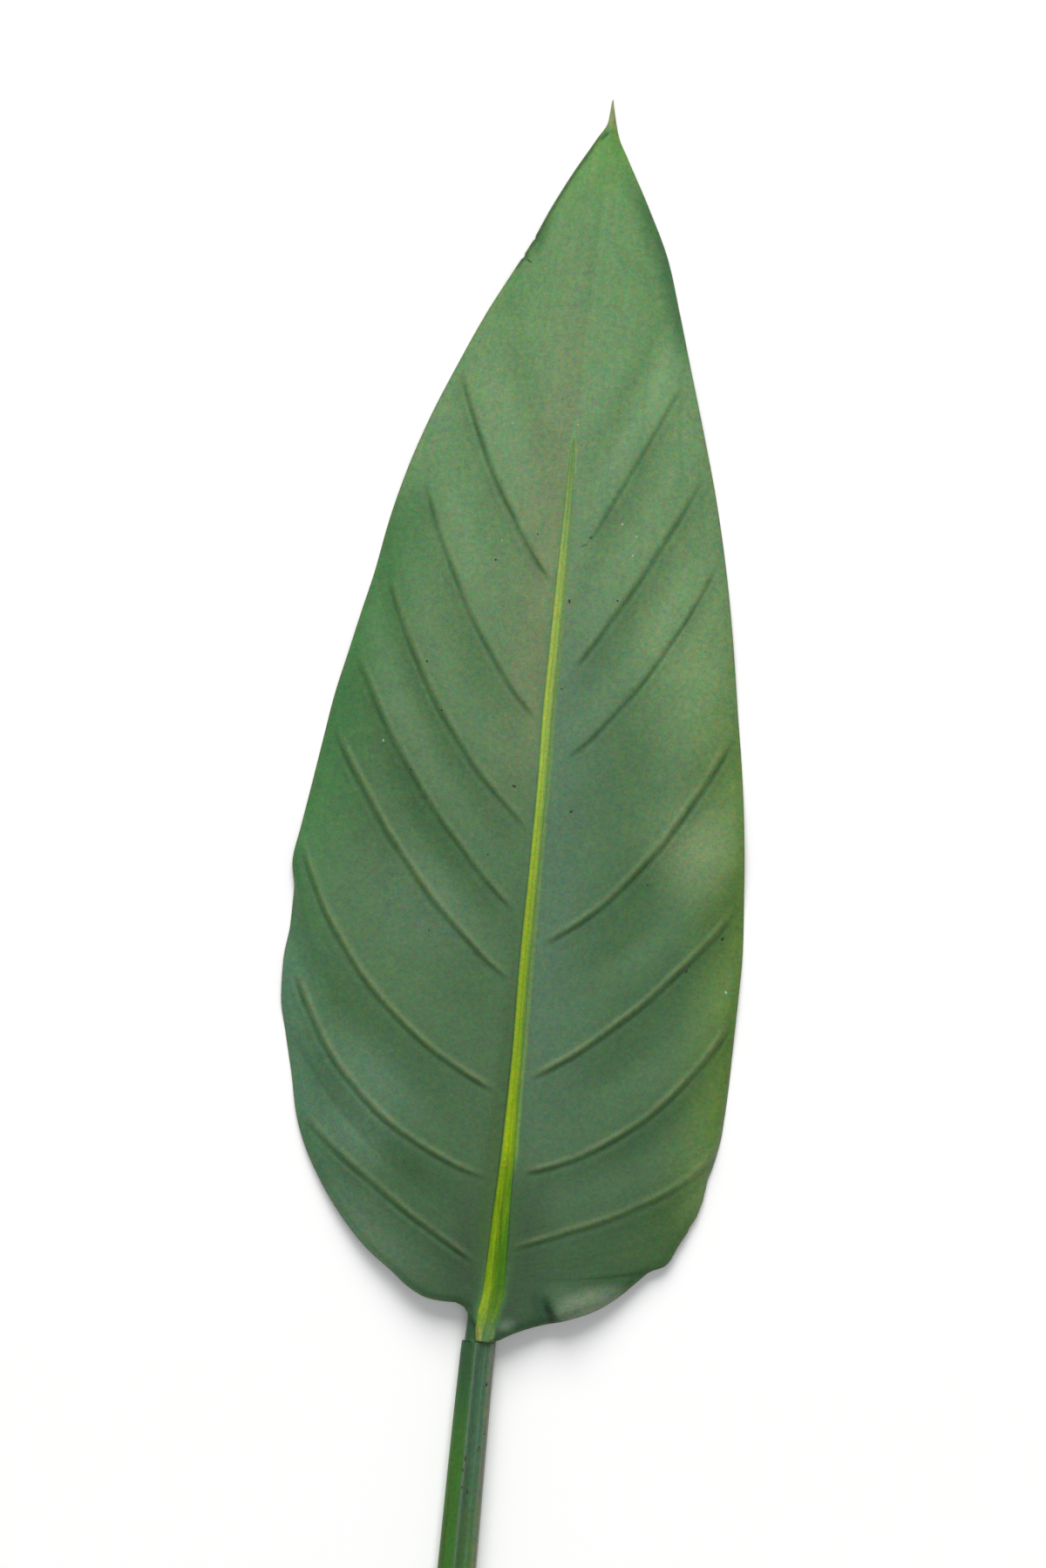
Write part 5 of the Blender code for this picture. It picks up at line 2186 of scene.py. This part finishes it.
@dataclass
class Flecks:
    """Small flecks of dirt and scar on a skin."""

    name: str
    flecks: tuple[Fleck, ...]
    slot: Slot
    growth_tree: Tree
    drop_from: float = 60.0
    flatness: float = 0.22

    def build(self, surface: Object, skin_material: Material) -> None:
        """Lays the flecks on a surface, as one piece.

        Args:
            surface: The piece that they lie on.
            skin_material: Their material.
        """
        places = np.array([(f.x, f.y, self.drop_from) for f in self.flecks])
        piece = new_piece(self.name, places, [])
        mark(
            piece, size=np.array([f.radius * MM for f in self.flecks]),
            stretch=np.array([f.stretch for f in self.flecks]),
            turn=np.radians([f.turn for f in self.flecks]),
        )
        grow(piece, self.growth_tree, Surface=surface, Flatness=self.flatness, Skin=skin_material)
        keep(piece, self.slot)


@dataclass(frozen=True)
class Lamp:
    """A square light: its name, its place and side in metres, its power in watts, its colour."""

    name: str
    place: Triple
    side: float
    power: float
    colour: Colour


LAMPS = (
    Lamp("key light", (-0.9, 7.0, 5.6), 6.2, 925.0, (1.0, 0.99, 0.97)),
    Lamp("overhead light", (0.3, -0.6, 4.6), 2.6, 45.0, (0.97, 0.99, 1.0)),
)


@dataclass
class Studio:
    """Floor, light and camera: a view from straight above, the leaf leaning to the right."""

    middle: tuple[float, float] = (-5.15, 179.8)
    lean: float = 6.2
    field_height: float = 503.4
    in_focus_height: float = 3.0
    lens: float = 200.0
    sensor: float = 36.0
    floor_size: float = 6.0
    floor_level: float = -0.2
    farthest_seen: float = 50.0
    room_colour: Colour = (0.97, 0.985, 1.0)
    room_strength: float = 0.295

    def camera(self) -> None:
        """Sets the camera straight above the leaf."""
        data = bpy.data.cameras.new("camera")
        data.sensor_fit = "VERTICAL"
        data.sensor_height = self.sensor
        data.lens = self.lens
        data.clip_end = self.farthest_seen
        eye = bpy.data.objects.new("camera", data)
        bpy.context.scene.collection.objects.link(eye)
        height = self.in_focus_height + self.field_height * self.lens / self.sensor
        eye.location = (self.middle[0] * MM, self.middle[1] * MM, height * MM)
        eye.rotation_euler = (0.0, 0.0, math.radians(self.lean))
        bpy.context.scene.camera = eye

    def hang(self, lamp: Lamp) -> None:
        """Hangs a light that faces the leaf.

        Args:
            lamp: The light.
        """
        data = bpy.data.lights.new(lamp.name, "AREA")
        data.shape, data.size = "SQUARE", lamp.side
        data.energy, data.color = lamp.power, lamp.colour
        hung = bpy.data.objects.new(lamp.name, data)
        bpy.context.scene.collection.objects.link(hung)
        hung.location = lamp.place
        target = Vector((self.middle[0] * MM, self.middle[1] * MM, 0.0))
        hung.rotation_euler = (target - Vector(lamp.place)).to_track_quat("-Z", "Y").to_euler()

    def room(self) -> None:
        """Puts a weak pale light all round."""
        world = bpy.data.worlds.new("pale room")
        world.use_nodes = True
        background = world.node_tree.nodes["Background"]
        background.inputs["Color"].default_value = (*self.room_colour, 1.0)
        background.inputs["Strength"].default_value = self.room_strength
        bpy.context.scene.world = world

    def floor(self) -> None:
        """Lays the floor under the leaf."""
        half = self.floor_size / 2 / MM
        ways = ((-1, -1), (1, -1), (1, 1), (-1, 1))
        corners = [(x * half, y * half, self.floor_level) for x, y in ways]
        plane = new_piece("studio_floor", np.array(corners), [(0, 1, 2, 3)])
        plane.data.materials.append(FloorFinish().material())

    def build(self) -> None:
        """Sets up the whole studio."""
        self.camera()
        for lamp in LAMPS:
            self.hang(lamp)
        self.room()
        self.floor()
        view = bpy.context.scene.view_settings
        view.view_transform, view.look = "Standard", "None"
        view.exposure, view.gamma = 0.0, 1.0


def main() -> None:
    """Builds the leaf's pieces in order, then the studio round them."""
    logging.basicConfig(level=logging.INFO, format="%(name)s: %(message)s")
    effects, growth, spine = Effects(), Growth(), Spine()
    blade = Blade(spine, growth).build(
        BladeFinish().material(effects), UndersideFinish().material(effects)
    )
    MidribStrip(spine, growth).build(MidribFinish().material(effects))
    stalk = Stalk(spine, growth)
    stalk_body = stalk.build(StalkFinish().material(effects))
    fibre = FleckFinish("Fibre ends", paint(150, 142, 92), paint(186, 182, 134), 0.55)
    CutEnd(stalk, growth).build(CutFinish().material(effects), fibre.material(effects))
    pale = FleckFinish("Pale flecks", paint(156, 172, 146), paint(136, 156, 126), 0.6)
    dark = FleckFinish("Dark flecks", paint(34, 44, 28), paint(54, 52, 34), 0.7)
    tree, dark_skin = growth.flecks(), dark.material(effects)
    Flecks("pale_flecks", PALE_FLECKS, Slot.BLADE, tree).build(blade, pale.material(effects))
    Flecks("dark_flecks", DARK_FLECKS, Slot.BLADE, tree).build(blade, dark_skin)
    Flecks("stalk_flecks", STALK_FLECKS, Slot.STALK, tree).build(stalk_body, dark_skin)
    Studio().build()


if __name__ == "__main__":
    main()
